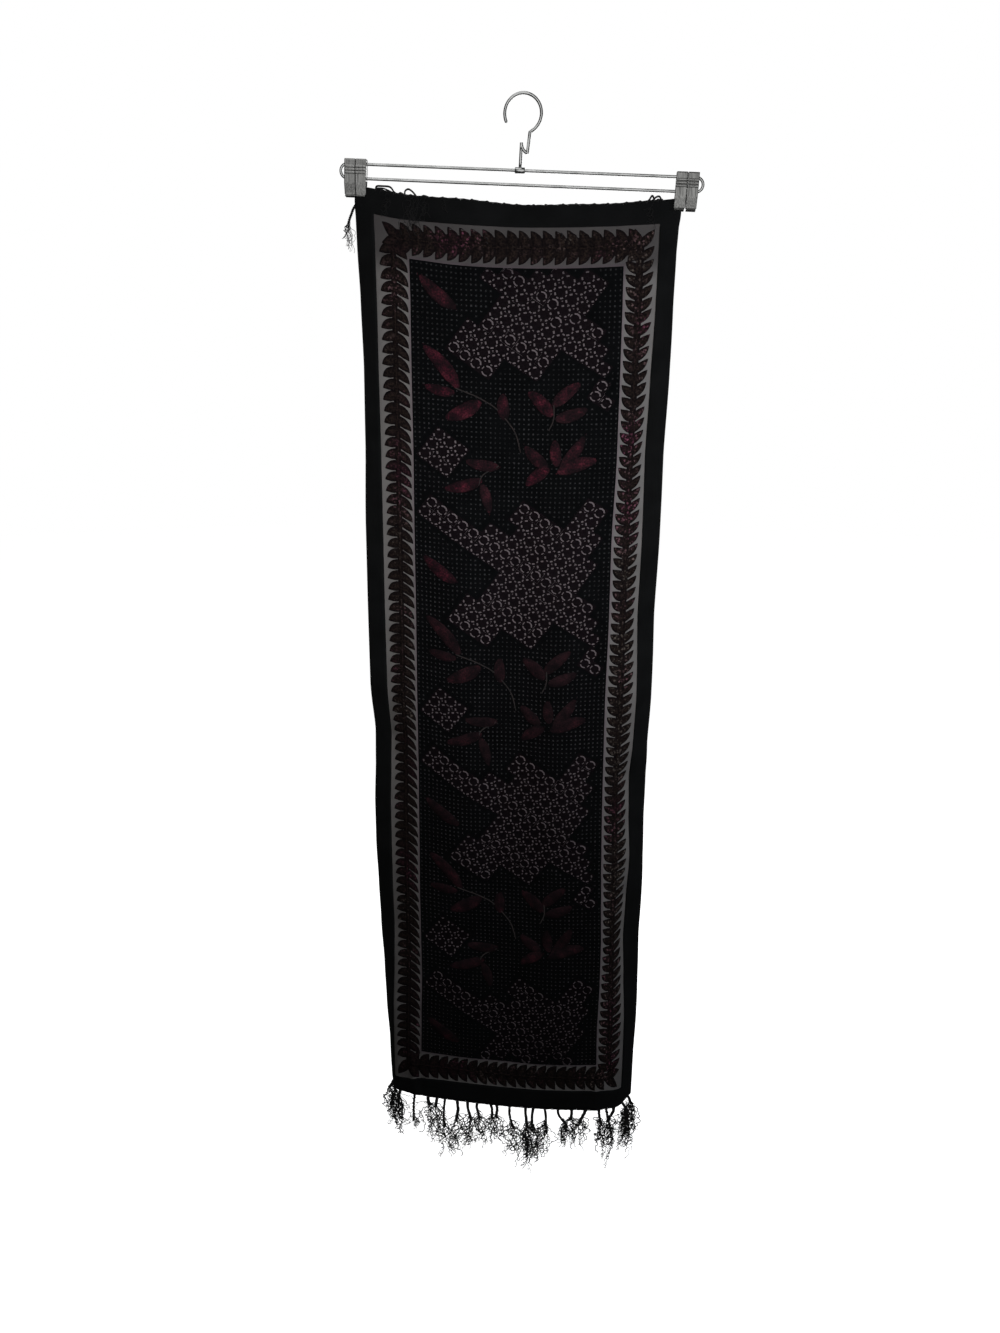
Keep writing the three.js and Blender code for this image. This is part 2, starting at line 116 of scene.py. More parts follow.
# Creases: across, down, degrees from upright (leaning right), half length, half width, height to the front
CREASES = [
    (120, 24, 62, 60, 9, -1.2),
    (-128, 26, -58, 64, 10, -1.4),
    (60, 58, 80, 90, 16, 1.1),
    (-70, 62, -76, 80, 15, 1.0),
    (148, 690, 24, 70, 9, 1.8),
    (166, 742, -18, 50, 7, -1.8),
    (150, 905, 20, 60, 9, 1.9),
    (168, 948, -14, 52, 7, -1.6),
    (-158, 655, -12, 76, 9, 1.7),
    (-172, 712, 16, 48, 6, -1.4),
    (-96, 520, 8, 150, 26, 1.6),
    (44, 380, -6, 170, 30, 1.5),
    (92, 820, 5, 160, 28, 1.7),
    (-40, 960, -7, 170, 30, -1.6),
    (-146, 1232, 4, 46, 5, 2.6),
    (-133, 1236, 2, 48, 6, -2.2),
    (30, 1180, 12, 70, 24, 1.4),
    (118, 1215, -10, 52, 14, -1.6),
    (187, 230, 1, 140, 6, 2.1),
    (189, 430, -1, 90, 5, 1.9),
    (187, 640, 2, 70, 6, 2.0),
    (190, 880, 0, 90, 5, 1.8),
    (-189, 330, 1, 110, 5, 0.9),
    (-191, 560, -2, 70, 4, 0.8),
]

# Where the cloth lies lower than its plain hang: across, half width, down, half height, how far
DROPS = [
    (60, 90, 0, 14, 3.0),
    (-186, 26, 10, 60, -3.2),
    (-133, 42, 74, 26, -2.6),
    (-178, 42, 1232, 28, 12.0),
    (170, 22, 1248, 36, 9.5),
    (20, 150, 1262, 50, 2.0),
]


def unit(vectors):
    return vectors / np.linalg.norm(vectors, axis=1)[:, None]


def smooth(x):
    x = np.clip(x, 0.0, 1.0)
    return x * x * (3 - 2 * x)


def section_at(down):
    """The row of SECTIONS at each height, eased between the rows above and below it."""
    rows = SECTIONS[:, 0]
    i = np.clip(np.searchsorted(rows, down, side="left") - 1, 0, len(rows) - 2)
    a, b = SECTIONS[i], SECTIONS[i + 1]
    t = np.clip((down - a[:, 0]) / (b[:, 0] - a[:, 0]), 0, 1)
    eased = 0.5 * t + 0.5 * smooth(t)
    return a + (b - a) * eased[:, None]


def folded_side(past, band_angle, border_angle):
    """How far out and how far back a side lies, at a distance past the panel's edge."""
    out = np.zeros_like(past)
    back = np.zeros_like(past)
    for s in np.arange(0, BAND + BORDER + 6, FOLD_STEP):
        width = np.clip(past - s, 0, FOLD_STEP)
        middle = s + width / 2
        into_band = smooth((middle + TURN) / (2 * TURN))
        into_border = smooth((middle - BAND + TURN) / (2 * TURN))
        angle = np.radians(band_angle * into_band + (border_angle - band_angle) * into_border)
        out += np.cos(angle) * width
        back += np.sin(angle) * width
    return out, back


def crease_height(across, down):
    """How far the creases push the cloth to the front."""
    height = np.zeros_like(across)
    for at, level, lean, half_length, half_width, rise in CREASES:
        turn = math.radians(lean)
        dx, dy = across - at, down - level
        along = dx * math.sin(turn) + dy * math.cos(turn)
        beside = dx * math.cos(turn) - dy * math.sin(turn)
        height += rise * np.exp(-((beside / half_width) ** 2) - (along / half_length) ** 2 * 1.2)
    return height * smooth(down / 16)


def cloth_point(across, down):
    """The middle of the cloth at flat places, in millimetres."""
    section = section_at(down)
    kept, centre = section[:, 1], section[:, 2]
    side = np.sign(across)
    in_panel = np.minimum(np.abs(across), HALF_PANEL)
    wave = (WAVE / math.pi) * np.sqrt(WAVE_SHARE * (PANEL / kept - 1))
    x = side * in_panel * kept / PANEL
    y = -wave * (1 - np.cos(2 * math.pi * in_panel / WAVE))
    left = side < 0
    band = np.where(left, section[:, 4], section[:, 5])
    border = np.where(left, section[:, 3], section[:, 6])
    out, back = folded_side(np.abs(across) - in_panel, band, border)
    x = x + side * out
    y = y + back
    y -= LEAN * np.clip((down - LEAN_FROM) / (LENGTH - LEAN_FROM), 0, None) ** 2
    y -= crease_height(across, down)
    tilt = ROW_TILT + CLIP_TILT * np.exp(-down / CLIP_REACH)
    z = TOP_EDGE - down - tilt * x + SAG * (across / SAG_AT) ** 2
    for at, reach, level, tall, drop in DROPS:
        z -= drop * np.exp(-(((across - at) / reach) ** 2) - ((down - level) / tall) ** 2)
    return np.stack([centre + x, y, z], 1)


def hang(flat):
    """Places on the flat cloth as points of the hanging one."""
    flat = np.asarray(flat, float)
    across, down, lift = flat.T
    d = FLAT_STEP
    along_across = cloth_point(across + d, down) - cloth_point(across - d, down)
    along_down = cloth_point(across, down + d) - cloth_point(across, down - d)
    return cloth_point(across, down) - unit(np.cross(along_across, along_down)) * lift[:, None]


# ---- meshes ----

class Shape:
    """Points and faces that are gathered before they become one mesh."""

    def __init__(self):
        self.points, self.faces, self.slots, self.tones, self.count = [], [], [], [], 0

    def add(self, points, faces, slot=0, tone=1.0):
        points = np.asarray(points, float)
        self.points.append(points)
        self.tones.append(np.full(len(points), 1.0) * tone)
        self.faces.extend([tuple(int(i) + self.count for i in f) for f in faces])
        self.slots.extend(np.full(len(faces), slot).tolist())
        self.count += len(points)

    def cloth_object(self, name, materials):
        """A piece whose points are places on the cloth. The flat places stay in the mesh as its UV map."""
        flat = np.concatenate(self.points)
        made = mesh_object(name, hang(flat), self.faces, materials, self.slots, flat[:, :2])
        tone = made.data.attributes.new("tone", "FLOAT", "POINT")
        tone.data.foreach_set("value", np.concatenate(self.tones).astype(np.float32))
        return made

    def object(self, name, material, rounded=True):
        return mesh_object(name, np.concatenate(self.points), self.faces, [material], rounded=rounded)


def mesh_object(name, points_mm, faces, materials, slots=None, flat=None, rounded=True):
    mesh = bpy.data.meshes.new(name)
    mesh.from_pydata((points_mm * MM).tolist(), [], faces)
    if flat is not None:
        corner = np.zeros(len(mesh.loops), np.int32)
        mesh.loops.foreach_get("vertex_index", corner)
        layer = mesh.uv_layers.new(name="flat")
        layer.data.foreach_set("uv", (flat[corner] * MM).astype(np.float32).ravel())
    for material in materials:
        mesh.materials.append(material)
    if len(materials) > 1:
        mesh.polygons.foreach_set("material_index", np.array(slots, np.int32))
    mesh.polygons.foreach_set("use_smooth", np.full(len(mesh.polygons), rounded))
    mesh.update()
    made = bpy.data.objects.new(name, mesh)
    bpy.context.scene.collection.objects.link(made)
    return made


def slab(shape, columns, rows, front, back, keep=None, back_slot=0):
    """A closed slab over the kept cells of a flat grid."""
    wide, tall = len(columns), len(rows)
    grid = np.stack(np.meshgrid(columns, rows), -1).reshape(-1, 2)
    points = np.concatenate([np.c_[grid, np.full(len(grid), front)], np.c_[grid, np.full(len(grid), back)]])
    under = len(grid)
    if keep is None:
        keep = np.ones((tall - 1, wide - 1), bool)
    fronts, backs, rims = [], [], []
    for r, c in zip(*np.nonzero(keep)):
        a, b = r * wide + c, r * wide + c + 1
        d, e = a + wide, b + wide
        fronts.append((a, d, e, b))
        backs.append((a + under, b + under, e + under, d + under))
        if r == 0 or not keep[r - 1, c]:
            rims.append((a, b, b + under, a + under))
        if r == tall - 2 or not keep[r + 1, c]:
            rims.append((e, d, d + under, e + under))
        if c == 0 or not keep[r, c - 1]:
            rims.append((d, a, a + under, d + under))
        if c == wide - 2 or not keep[r, c + 1]:
            rims.append((b, e, e + under, b + under))
    used = np.unique(np.array(fronts + backs + rims).ravel())
    renumbered = np.full(len(points), -1)
    renumbered[used] = np.arange(len(used))
    slots = np.repeat((0, back_slot, 0), (len(fronts), len(backs), len(rims)))
    shape.add(points[used], renumbered[np.array(fronts + backs + rims)], slots)


def skin_faces(rings, sides, closed=False):
    """Faces over rings of points, each joined to the next. Both ends are capped, unless the rings close."""
    ring, k = np.arange(rings if closed else rings - 1)[:, None], np.arange(sides)
    a, b, turn = ring * sides, (ring + 1) % rings * sides, (k + 1) % sides
    faces = np.stack([a + k, a + turn, b + turn, b + k], -1).reshape(-1, 4).tolist()
    if not closed:
        faces += [list(range(sides))[::-1], list(range((rings - 1) * sides, rings * sides))]
    return faces


def rings_round(path, ways, first, radii, sides):
    """Rings of points round a path. first is square to the path, and each ring starts there."""
    second = np.cross(ways, first)
    angles = 2 * math.pi * np.arange(sides) / sides
    ring = first[:, None] * np.cos(angles)[None, :, None] + second[:, None] * np.sin(angles)[None, :, None]
    return (path[:, None] + ring * np.reshape(radii, (-1, 1, 1))).reshape(-1, 3)


def spaced(stops, step):
    """Grid lines through every stop, about a step apart."""
    lines = [stops[0]]
    for a, b in zip(stops, stops[1:]):
        cells = max(1, round((b - a) / step))
        lines.extend(a + (b - a) * (i + 1) / cells for i in range(cells))
    return np.array(lines)


# ---- materials ----

BLACK = (0.0, 0.0, 0.0)
WHITE = (1.0, 1.0, 1.0)


def grey(value, cool):
    return (value * (1 - cool), value, value * (1 + cool))


class Nodes:
    """A material with one principled shader, and short names for the nodes that paint it."""

    def __init__(self, name, roughness, gloss=0.5):
        self.made = bpy.data.materials.new(name)
        self.made.use_nodes = True
        self.tree = self.made.node_tree
        self.tree.nodes.clear()
        out = self.new("ShaderNodeOutputMaterial")
        self.shader = self.new("ShaderNodeBsdfPrincipled")
        self.feed(out.inputs["Surface"], self.shader.outputs["BSDF"])
        self.give("Roughness", roughness)
        self.give("Specular IOR Level", gloss)

    def new(self, kind, **settings):
        node = self.tree.nodes.new(kind)
        for key, value in settings.items():
            setattr(node, key, value)
        return node

    def feed(self, socket, value):
        """Give a socket another node's output, or a value of its own."""
        if hasattr(value, "links"):
            self.tree.links.new(value, socket)
        else:
            socket.default_value = value

    def give(self, socket, value):
        self.feed(self.shader.inputs[socket], value)

    def flat(self):
        return self.new("ShaderNodeUVMap", uv_map="flat").outputs["UV"]

    def place(self):
        return self.new("ShaderNodeTexCoord").outputs["Object"]

    def tone(self):
        return self.new("ShaderNodeAttribute", attribute_name="tone").outputs["Fac"]

    def noise(self, where, scale, detail=2.0):
        node = self.new("ShaderNodeTexNoise")
        node.inputs["Scale"].default_value = scale
        node.inputs["Detail"].default_value = detail
        self.feed(node.inputs["Vector"], where)
        return node.outputs["Fac"]

    def speckle(self, where, scale):
        """A random value for each cell of a fine grain."""
        node = self.new("ShaderNodeTexVoronoi")
        node.inputs["Scale"].default_value = scale
        self.feed(node.inputs["Vector"], where)
        value = self.new("ShaderNodeRGBToBW")
        self.feed(value.inputs[0], node.outputs["Color"])
        return value.outputs[0]

    def ramp(self, value, *stops):
        node = self.new("ShaderNodeValToRGB")
        elements = node.color_ramp.elements
        while len(elements) < len(stops):
            elements.new(0.5)
        for element, (at, colour) in zip(elements, stops):
            element.position = at
            element.color = (*colour, 1.0)
        self.feed(node.inputs["Fac"], value)
        return node.outputs["Color"]

    def mix(self, share, a, b, blend="MIX"):
        node = self.new("ShaderNodeMix", data_type="RGBA", blend_type=blend)
        for socket, value in (("Factor", share), ("A", a), ("B", b)):
            self.feed(node.inputs[socket], value)
        return node.outputs["Result"]

    def math(self, operation, a, b):
        node = self.new("ShaderNodeMath", operation=operation)
        self.feed(node.inputs[0], a)
        self.feed(node.inputs[1], b)
        return node.outputs[0]

    def times(self, a, b):
        return self.math("MULTIPLY", a, b)

    def blend(self, share, a, b):
        """A share of one value and the rest of another."""
        return self.math("ADD", self.times(a, share), self.times(b, 1 - share))

    def along(self, flat, axis, start_mm, end_mm):
        """How far a place lies across (X) or down (Y) the cloth, from 0 at one line to 1 at another."""
        split = self.new("ShaderNodeSeparateXYZ")
        self.feed(split.inputs[0], flat)
        node = self.new("ShaderNodeMapRange", interpolation_type="SMOOTHSTEP")
        node.inputs["From Min"].default_value = start_mm * MM
        node.inputs["From Max"].default_value = end_mm * MM
        self.feed(node.inputs["Value"], split.outputs[axis])
        return node.outputs["Result"]

    def weave(self, where, pitch_mm):
        """Threads that cross: high on each thread."""
        parts = []
        for direction in ("X", "Y"):
            wave = self.new("ShaderNodeTexWave", wave_type="BANDS", bands_direction=direction)
            wave.inputs["Scale"].default_value = 1000 / pitch_mm / 20 * math.pi
            wave.inputs["Distortion"].default_value = 0.6
            self.feed(wave.inputs["Vector"], where)
            parts.append(wave.outputs["Fac"])
        return self.math("MAXIMUM", *parts)

    def bump(self, height, strength, distance_mm):
        node = self.new("ShaderNodeBump")
        node.inputs["Strength"].default_value = strength
        node.inputs["Distance"].default_value = distance_mm * MM
        self.feed(node.inputs["Height"], height)
        self.give("Normal", node.outputs["Normal"])


def pile_material(name, dark, light, cool):
    """Dense black flock: no gloss, a fine grain, and a nap that lies a little unevenly."""
    n = Nodes(name, 1.0, 0.02)
    flat = n.flat()
    grain = n.noise(flat, 1500)
    tone = n.blend(0.6, n.noise(flat, 26, 3), grain)
    n.give("Base Color", n.ramp(tone, (0.34, grey(dark, cool)), (0.68, grey(light, cool))))
    n.give("Sheen Weight", 0.02)
    n.give("Sheen Roughness", 0.5)
    n.bump(grain, 0.6, 0.4)
    return n.made


FRINGE_SHADE_LINES = (62, 100)  # between these lines down the cloth the top fringe behind it thins out, and the painted shade on the sheer ground fades


def sheer_material():
    """The burnt-out ground: fine crossed threads, with painted shade at the top, where the fringe hangs
    behind it.
    """
    n = Nodes("sheer_ground", 0.72, 0.04)
    flat = n.flat()
    threads = n.weave(flat, 0.5)
    tone = n.blend(0.55, threads, n.noise(flat, 30, 3))
    plain = n.ramp(tone, (0.1, (0.052, 0.048, 0.047)), (0.85, (0.135, 0.128, 0.125)))
    # painted shade: the ground is painted darker near its top, where the fringe hangs behind it
    fringe_shade = n.ramp(n.along(flat, "Y", *FRINGE_SHADE_LINES), (0.0, (0.42, 0.41, 0.42)), (1.0, WHITE))
    edge = HALF_PANEL - 1
    across = n.times(n.along(flat, "X", -edge - 5, -edge), n.along(flat, "X", edge + 5, edge))
    below_top = n.along(flat, "Y", PANEL_TOP - 4, PANEL_TOP)
    above_bottom = n.along(flat, "Y", PANEL_BOTTOM + 4, PANEL_BOTTOM)
    inside = n.times(across, n.times(below_top, above_bottom))
    tint = n.ramp(inside, (0.0, WHITE), (1.0, (0.96, 0.86, 0.95)))
    n.give("Base Color", n.mix(1.0, n.mix(1.0, plain, fringe_shade, "MULTIPLY"), tint, "MULTIPLY"))
    n.bump(threads, 0.5, 0.15)
    return n.made


def thinned_material():
    """The dots of the panel: the ground with a thin rest of the pile on it."""
    n = Nodes("thinned_pile", 0.85, 0.03)
    flat = n.flat()
    tone = n.blend(0.55, n.noise(flat, 340), n.noise(flat, 30))
    n.give("Base Color", n.ramp(tone, (0.36, (0.004, 0.0042, 0.0045)), (0.66, (0.031, 0.031, 0.033))))
    return n.made


def leaf_material():
    """The band's leaves: dark brown pile, in places wine red, with painted shade at their edges and a
    metallic print whose glints are painted as bright specks.
    """
    n = Nodes("band_leaf_pile", 0.85, 0.03)
    flat = n.flat()
    patches = n.noise(flat, 11)
    veins = n.noise(flat, 380, 3)
    brown = n.ramp(veins, (0.40, (0.0030, 0.0022, 0.0022)), (0.60, (0.0175, 0.0118, 0.0098)))
    wine = n.ramp(veins, (0.38, (0.0070, 0.0036, 0.0048)), (0.64, (0.0260, 0.0088, 0.0135)))
    pile = n.mix(n.ramp(patches, (0.58, BLACK), (0.72, (0.75, 0.75, 0.75))), brown, wine)
    # partly print, partly painted glints: the metallic print is painted as bright specks, more of them toward
    # the right band
    glitter = n.speckle(flat, 470)
    place = n.math("ADD", n.times(n.along(flat, "X", 60, 150), 0.16), n.noise(flat, 17))
    where = n.ramp(place, (0.46, (0.05, 0.05, 0.05)), (0.70, WHITE))
    spots = n.ramp(glitter, (0.70, BLACK), (0.88, WHITE))
    tint = n.ramp(patches, (0.42, (0.105, 0.088, 0.076)), (0.64, (0.160, 0.050, 0.084)))
    print_and_glints = n.mix(n.mix(1.0, spots, where, "MULTIPLY"), pile, tint)
    # painted shade: where the tone is low, at the leaves' edges, the colour goes to near black
    n.give("Base Color", n.mix(n.tone(), (0.0030, 0.0023, 0.0027, 1.0), print_and_glints))
    n.bump(glitter, 0.5, 0.3)
    return n.made


def lattice_material():
    """The pile between the openings of the ring patches, a little warmer than the plain pile."""
    n = Nodes("lattice_pile", 0.95, 0.02)
    tone = n.noise(n.flat(), 420, 3)
    n.give("Base Color", n.ramp(tone, (0.35, (0.0027, 0.0021, 0.0025)), (0.7, (0.0064, 0.0045, 0.0056))))
    n.bump(tone, 0.5, 0.3)
    return n.made


def satin_material():
    """The sprigs' leaves: wine-red satin, mottled, with its sheen painted as bright patches; each leaf has
    painted light of its own, and a low tone paints it in shade.
    """
    n = Nodes("wine_satin", 0.6, 0.02)
    flat = n.flat()
    mottle_and_sheen = n.blend(0.6, n.noise(flat, 70, 3), n.noise(flat, 420))
    # painted highlight: the brightest stops stand in for the satin's sheen where the mottle is high
    satin_and_highlights = n.ramp(
        mottle_and_sheen, (0.38, (0.0046, 0.0028, 0.0036)), (0.47, (0.0110, 0.0037, 0.0056)),
        (0.55, (0.0260, 0.0050, 0.0090)), (0.67, (0.0900, 0.0130, 0.0230)))
    # painted shade: the darker satin, for the lower repeats and the leaves' edges
    satin_in_shade = n.ramp(mottle_and_sheen, (0.38, (0.0038, 0.0029, 0.0034)), (0.66, (0.0125, 0.0072, 0.0082)))
    n.give("Base Color", n.mix(n.tone(), satin_in_shade, satin_and_highlights))
    n.bump(mottle_and_sheen, 0.3, 0.4)
    return n.made


def stem_material():
    n = Nodes("sprig_stem", 0.8)
    tone = n.noise(n.flat(), 160)
    n.give("Base Color", n.ramp(tone, (0.3, (0.0040, 0.0031, 0.0033)), (0.7, (0.0130, 0.0086, 0.0082))))
    return n.made


def back_material():
    """The reverse of the cloth where pile is fixed to its front: plain and dark."""
    n = Nodes("cloth_back", 0.85, 0.15)
    flat = n.flat()
    threads = n.weave(flat, 0.5)
    tone = n.blend(0.5, threads, n.noise(flat, 20, 3))
    n.give("Base Color", n.ramp(tone, (0.15, (0.008, 0.0075, 0.0085)), (0.85, (0.026, 0.024, 0.027))))
    n.bump(threads, 0.5, 0.15)
    return n.made


def yarn_material():
    n = Nodes("fringe_yarn", 0.8, 0.25)
    tone = n.noise(n.place(), 900)
    n.give("Base Color", n.ramp(tone, (0.3, (0.0032, 0.0030, 0.0034)), (0.7, (0.0095, 0.0092, 0.0096))))
    n.bump(tone, 0.5, 0.2)
    return n.made


def chrome_material():
    """Dull nickel plate."""
    n = Nodes("hanger_chrome", 0.25)
    wear = n.noise(n.place(), 60, 4)
    n.give("Base Color", n.ramp(wear, (0.35, (0.36, 0.365, 0.36)), (0.6, (0.54, 0.545, 0.54))))
    n.give("Roughness", n.math("ADD", n.times(wear, 0.14), 0.20))
    n.give("Metallic", 1.0)
    return n.made


def clip_material():
    """Plated spring steel with faint upright drawing marks."""
    n = Nodes("clip_spring_steel", 0.4)
    stretch = n.new("ShaderNodeMapping")
    stretch.inputs["Scale"].default_value = (1.0, 1.0, 0.03)
    n.feed(stretch.inputs["Vector"], n.place())
    marks = n.noise(stretch.outputs["Vector"], 1400)
    n.give("Base Color", n.ramp(marks, (0.34, (0.10, 0.10, 0.098)), (0.66, (0.34, 0.34, 0.33))))
    n.give("Roughness", n.math("ADD", n.times(marks, 0.25), 0.30))
    n.give("Metallic", 1.0)
    n.bump(marks, 0.2, 0.05)
    return n.made


BORDER_PILE = pile_material("black_pile", 0.0032, 0.0058, 0.04)
PANEL_PILE = pile_material("panel_pile", 0.0015, 0.0027, 0.10)
SHEER = sheer_material()
LEAF = leaf_material()
LATTICE = lattice_material()
SATIN = satin_material()
STEM = stem_material()
THINNED = thinned_material()
BACK = back_material()
YARN = yarn_material()
CHROME = chrome_material()
CLIP_STEEL = clip_material()

# ---- the scarf ----

GRID = 4.0
ACROSS_LINES = spaced([-HALF_WIDTH, -HALF_BAND_OUT, -HALF_PANEL, HALF_PANEL, HALF_BAND_OUT, HALF_WIDTH], GRID)
DOWN_LINES = spaced([0, TOP_BORDER, PANEL_TOP, PANEL_BOTTOM, LENGTH - BOTTOM_BORDER, LENGTH], GRID)


def cell_middles(lines):
    return (lines[1:] + lines[:-1]) / 2


def in_frame():
    """Which cells of the grid lie in the plain pile border."""
    u = np.abs(cell_middles(ACROSS_LINES))[None, :]
    v = cell_middles(DOWN_LINES)[:, None]
    return (u > HALF_BAND_OUT) | (v < TOP_BORDER) | (v > LENGTH - BOTTOM_BORDER)


def sheer_ground():
    shape = Shape()
    slab(shape, ACROSS_LINES, DOWN_LINES, 0.0, -GROUND_THICK)
    return shape.cloth_object("scarf_ground", [SHEER])


def border_pile():
    shape = Shape()
    slab(shape, ACROSS_LINES, DOWN_LINES, PILE, -GROUND_THICK - BACK_PILE, keep=in_frame(), back_slot=1)
    return shape.cloth_object("border_pile", [BORDER_PILE, BACK])


def panel_back():
    """The reverse of the patterned panel, a thin dark skin on the sheer ground."""
    shape = Shape()
    near = 0.01
    columns = ACROSS_LINES[np.abs(ACROSS_LINES) <= HALF_PANEL + near]
    rows = DOWN_LINES[(DOWN_LINES >= PANEL_TOP - near) & (DOWN_LINES <= PANEL_BOTTOM + near)]
    slab(shape, columns, rows, -GROUND_THICK + 0.1, -GROUND_THICK - BACK_PILE)
    return shape.cloth_object("panel_reverse", [BACK])


# Leaves are rings of points round a bent middle line: share of the half width, and lift
PILE_LEAF = [
    (-1, -0.05), (-0.84, 0.60), (-0.45, 0.74), (0, 0.84), (0.45, 0.74), (0.84, 0.60), (1, -0.05),
    (0.7, -0.55), (-0.7, -0.55),
]
SATIN_LEAF = [(-1, PILE - 0.1), (-0.82, 0.98), (0, 1.12), (0.82, 0.98), (1, PILE - 0.1), (0, PILE - 0.15)]
# Half widths from root to tip, as shares of the widest
BAND_LEAF = [0.78, 0.95, 1.0, 0.98, 0.90, 0.73, 0.45, 0.08]
SPRIG_LEAF = [0.10, 0.46, 0.78, 0.95, 1.0, 0.98, 0.92, 0.80, 0.60, 0.34, 0.06]


def leaf(shape, root, tip, bend, width, ring, outline, tone=1.0, edge_light=1.0):
    """A pointed leaf.

    bend pushes its middle to the left of the way from root to tip, as a share of the length. tone is the
    painted light along its middle, and the last argument the share of it left at its edges, which paints them
    in shade.
    """
    root, tip = np.array(root, float), np.array(tip, float)
    way = tip - root
    length = math.hypot(*way)
    left = np.array([way[1], -way[0]]) / length
    top = max(lift for _, lift in ring)
    points, tones = [], []
    for i, share_here in enumerate(outline):
        t = i / (len(outline) - 1)
        middle = root + way * t + left * (bend * length * 4 * t * (1 - t))
        turn = math.atan(bend * 4 * (1 - 2 * t))
        across = left * math.cos(turn) - way / length * math.sin(turn)
        half = width / 2 * share_here
        low = 0.3 + 0.7 * min(1.0, share_here * 1.6)
        for share, lift in ring:
            points.append((*(middle + across * half * share), lift * low if lift > 0.7 * top else lift))
            # painted shade: the tone falls toward the leaf's edges and ends, down to the given share
            tones.append(tone * (1 - (1 - edge_light) * min(1.0, abs(share) + 0.7 * abs(2 * t - 1) ** 3)))
    shape.add(points, skin_faces(len(outline), len(ring)), tone=np.array(tones))


def strip(shape, path, width, lifts, slot=0, tone=1.0):
    """A flat-topped ridge along a path on the cloth."""
    path = np.array(path, float)
    ways = unit(np.gradient(path, axis=0))
    left = np.stack([ways[:, 1], -ways[:, 0]], 1)
    low, high = lifts
    ring = [(-0.5, low), (-0.4, high), (0.4, high), (0.5, low)]
    points = []
    for middle, beside in zip(path, left):
        points += [(*(middle + beside * width * share), lift) for share, lift in ring]
    shape.add(points, skin_faces(len(path), len(ring)), slot, tone)


SPINE = 152.5  # the side bands' spines, across from the middle
SPINE_TOP = 49.5
SPINE_BOTTOM = LENGTH - BOTTOM_BORDER - 21.0
LEAF_PITCH = 14.5
# painted shade: the share of a band leaf's tone left at its edges
LEAF_EDGE_LIGHT = 0.12
LEAF_BEND = 0.07
LEAF_FOOT = -0.55  # how deep the spines' ridges reach into the cloth
SPINE_WIDTH = 3.2
# Where the spine starts and ends, way on, way out, then reach, back and width of the outer and of the inner
# leaves, and how wide the dark core is in which the leaves run together
GARLANDS = [
    ((-SPINE, SPINE_BOTTOM), (-SPINE, SPINE_TOP + 13), (0, -1), (-1, 0),
     (17.6, 5.0, 13.9), (17.8, 12.0, 11.8), 8.5),
    ((-SPINE + 3, SPINE_TOP), (145, SPINE_TOP), (1, 0), (0, -1),
     (19.2, 7.5, 13.8), (19.6, 8.5, 13.8), 25.0),
    ((SPINE, SPINE_TOP - 2), (SPINE, SPINE_BOTTOM - 14), (0, 1), (1, 0),
     (17.6, 11.0, 11.4), (17.4, 9.0, 12.6), 11.0),
    ((SPINE, SPINE_BOTTOM), (-144, SPINE_BOTTOM), (-1, 0), (0, 1),
     (19.2, 8.0, 14.4), (19.4, 9.0, 14.2), 14.0),
]
# The first pair of each garland points back into the corner: out and back of its outer and inner leaf
CORNER_PAIR = ((17.0, 15.0), (7.0, 17.0))


def leaf_garlands():
    """Paired leaves that trail back from a spine, all round the band."""
    shape = Shape()
    for start, end, on, out, outer, inner, core in GARLANDS:
        start, end, on, out = (np.array(p, float) for p in (start, end, on, out))
        length = float((end - start) @ on)
        count = round(length / LEAF_PITCH)
        turn = on[0] * out[1] - on[1] * out[0]
        for i in range(count + 1):
            at = start + on * (i * length / count)
            for side, kind, corner in ((1, outer, CORNER_PAIR[0]), (-1, inner, CORNER_PAIR[1])):
                reach, back = corner if i == 0 else kind[:2]
                wobble = rng.uniform(-0.6, 0.6, 4)
                tip = at + out * side * (reach + wobble[0] * 0.8) - on * (back + wobble[1])
                root = at - out * side * 0.8 + on * (2.0 + wobble[3])
                leaf(shape, root, tip, LEAF_BEND * side * turn, kind[2] + wobble[2], PILE_LEAF, BAND_LEAF,
                     rng.uniform(0.75, 1.0), LEAF_EDGE_LIGHT)
        spine = [start + on * s for s in np.arange(-2, length + 6, 6.0)]
        strip(shape, spine, core, (LEAF_FOOT, 0.5), tone=0.25)
        strip(shape, spine, SPINE_WIDTH, (LEAF_FOOT, 0.86), tone=0.6)
    return shape.cloth_object("leaf_garlands", [LEAF])


# ---- the panel's pattern ----

REPEAT = 348.0  # the pattern starts again this far down
REPEAT_AT = 205.0  # one repeat starts here; others lie above and below it
REPEATS = (-1, 0, 1, 2)
DOT_PITCH = 6.1
DOT = 2.0
DOT_ASTRAY = 0.2  # how far a dot may lie from its cell's middle
DOT_SIZES = (0.7, 1.2)
THIN_PILE = 0.15  # what is left of the pile in a dot
RING_SIZE = 16.4  # the side of the square of pile that holds one ring
ROW_STEP = np.array([14.0, 8.75])  # from one ring to the next along its row
ROW_ABOVE = np.array([9.68, -12.9])  # from one ring to the one above it
WHOLE_ROWS = (-7, -4, 0, 4, 7)  # here the rings are drawn as nearly whole lines, in the other rows as beads
PANEL_RIM = 1.0  # the pattern's pile stops this far inside the panel's edge
DOT_CLEAR = 3.4  # no dots this close to a ring's tile
TILE_LIFT = 0.03  # the rings' tiles stand this much higher than the pile beside them

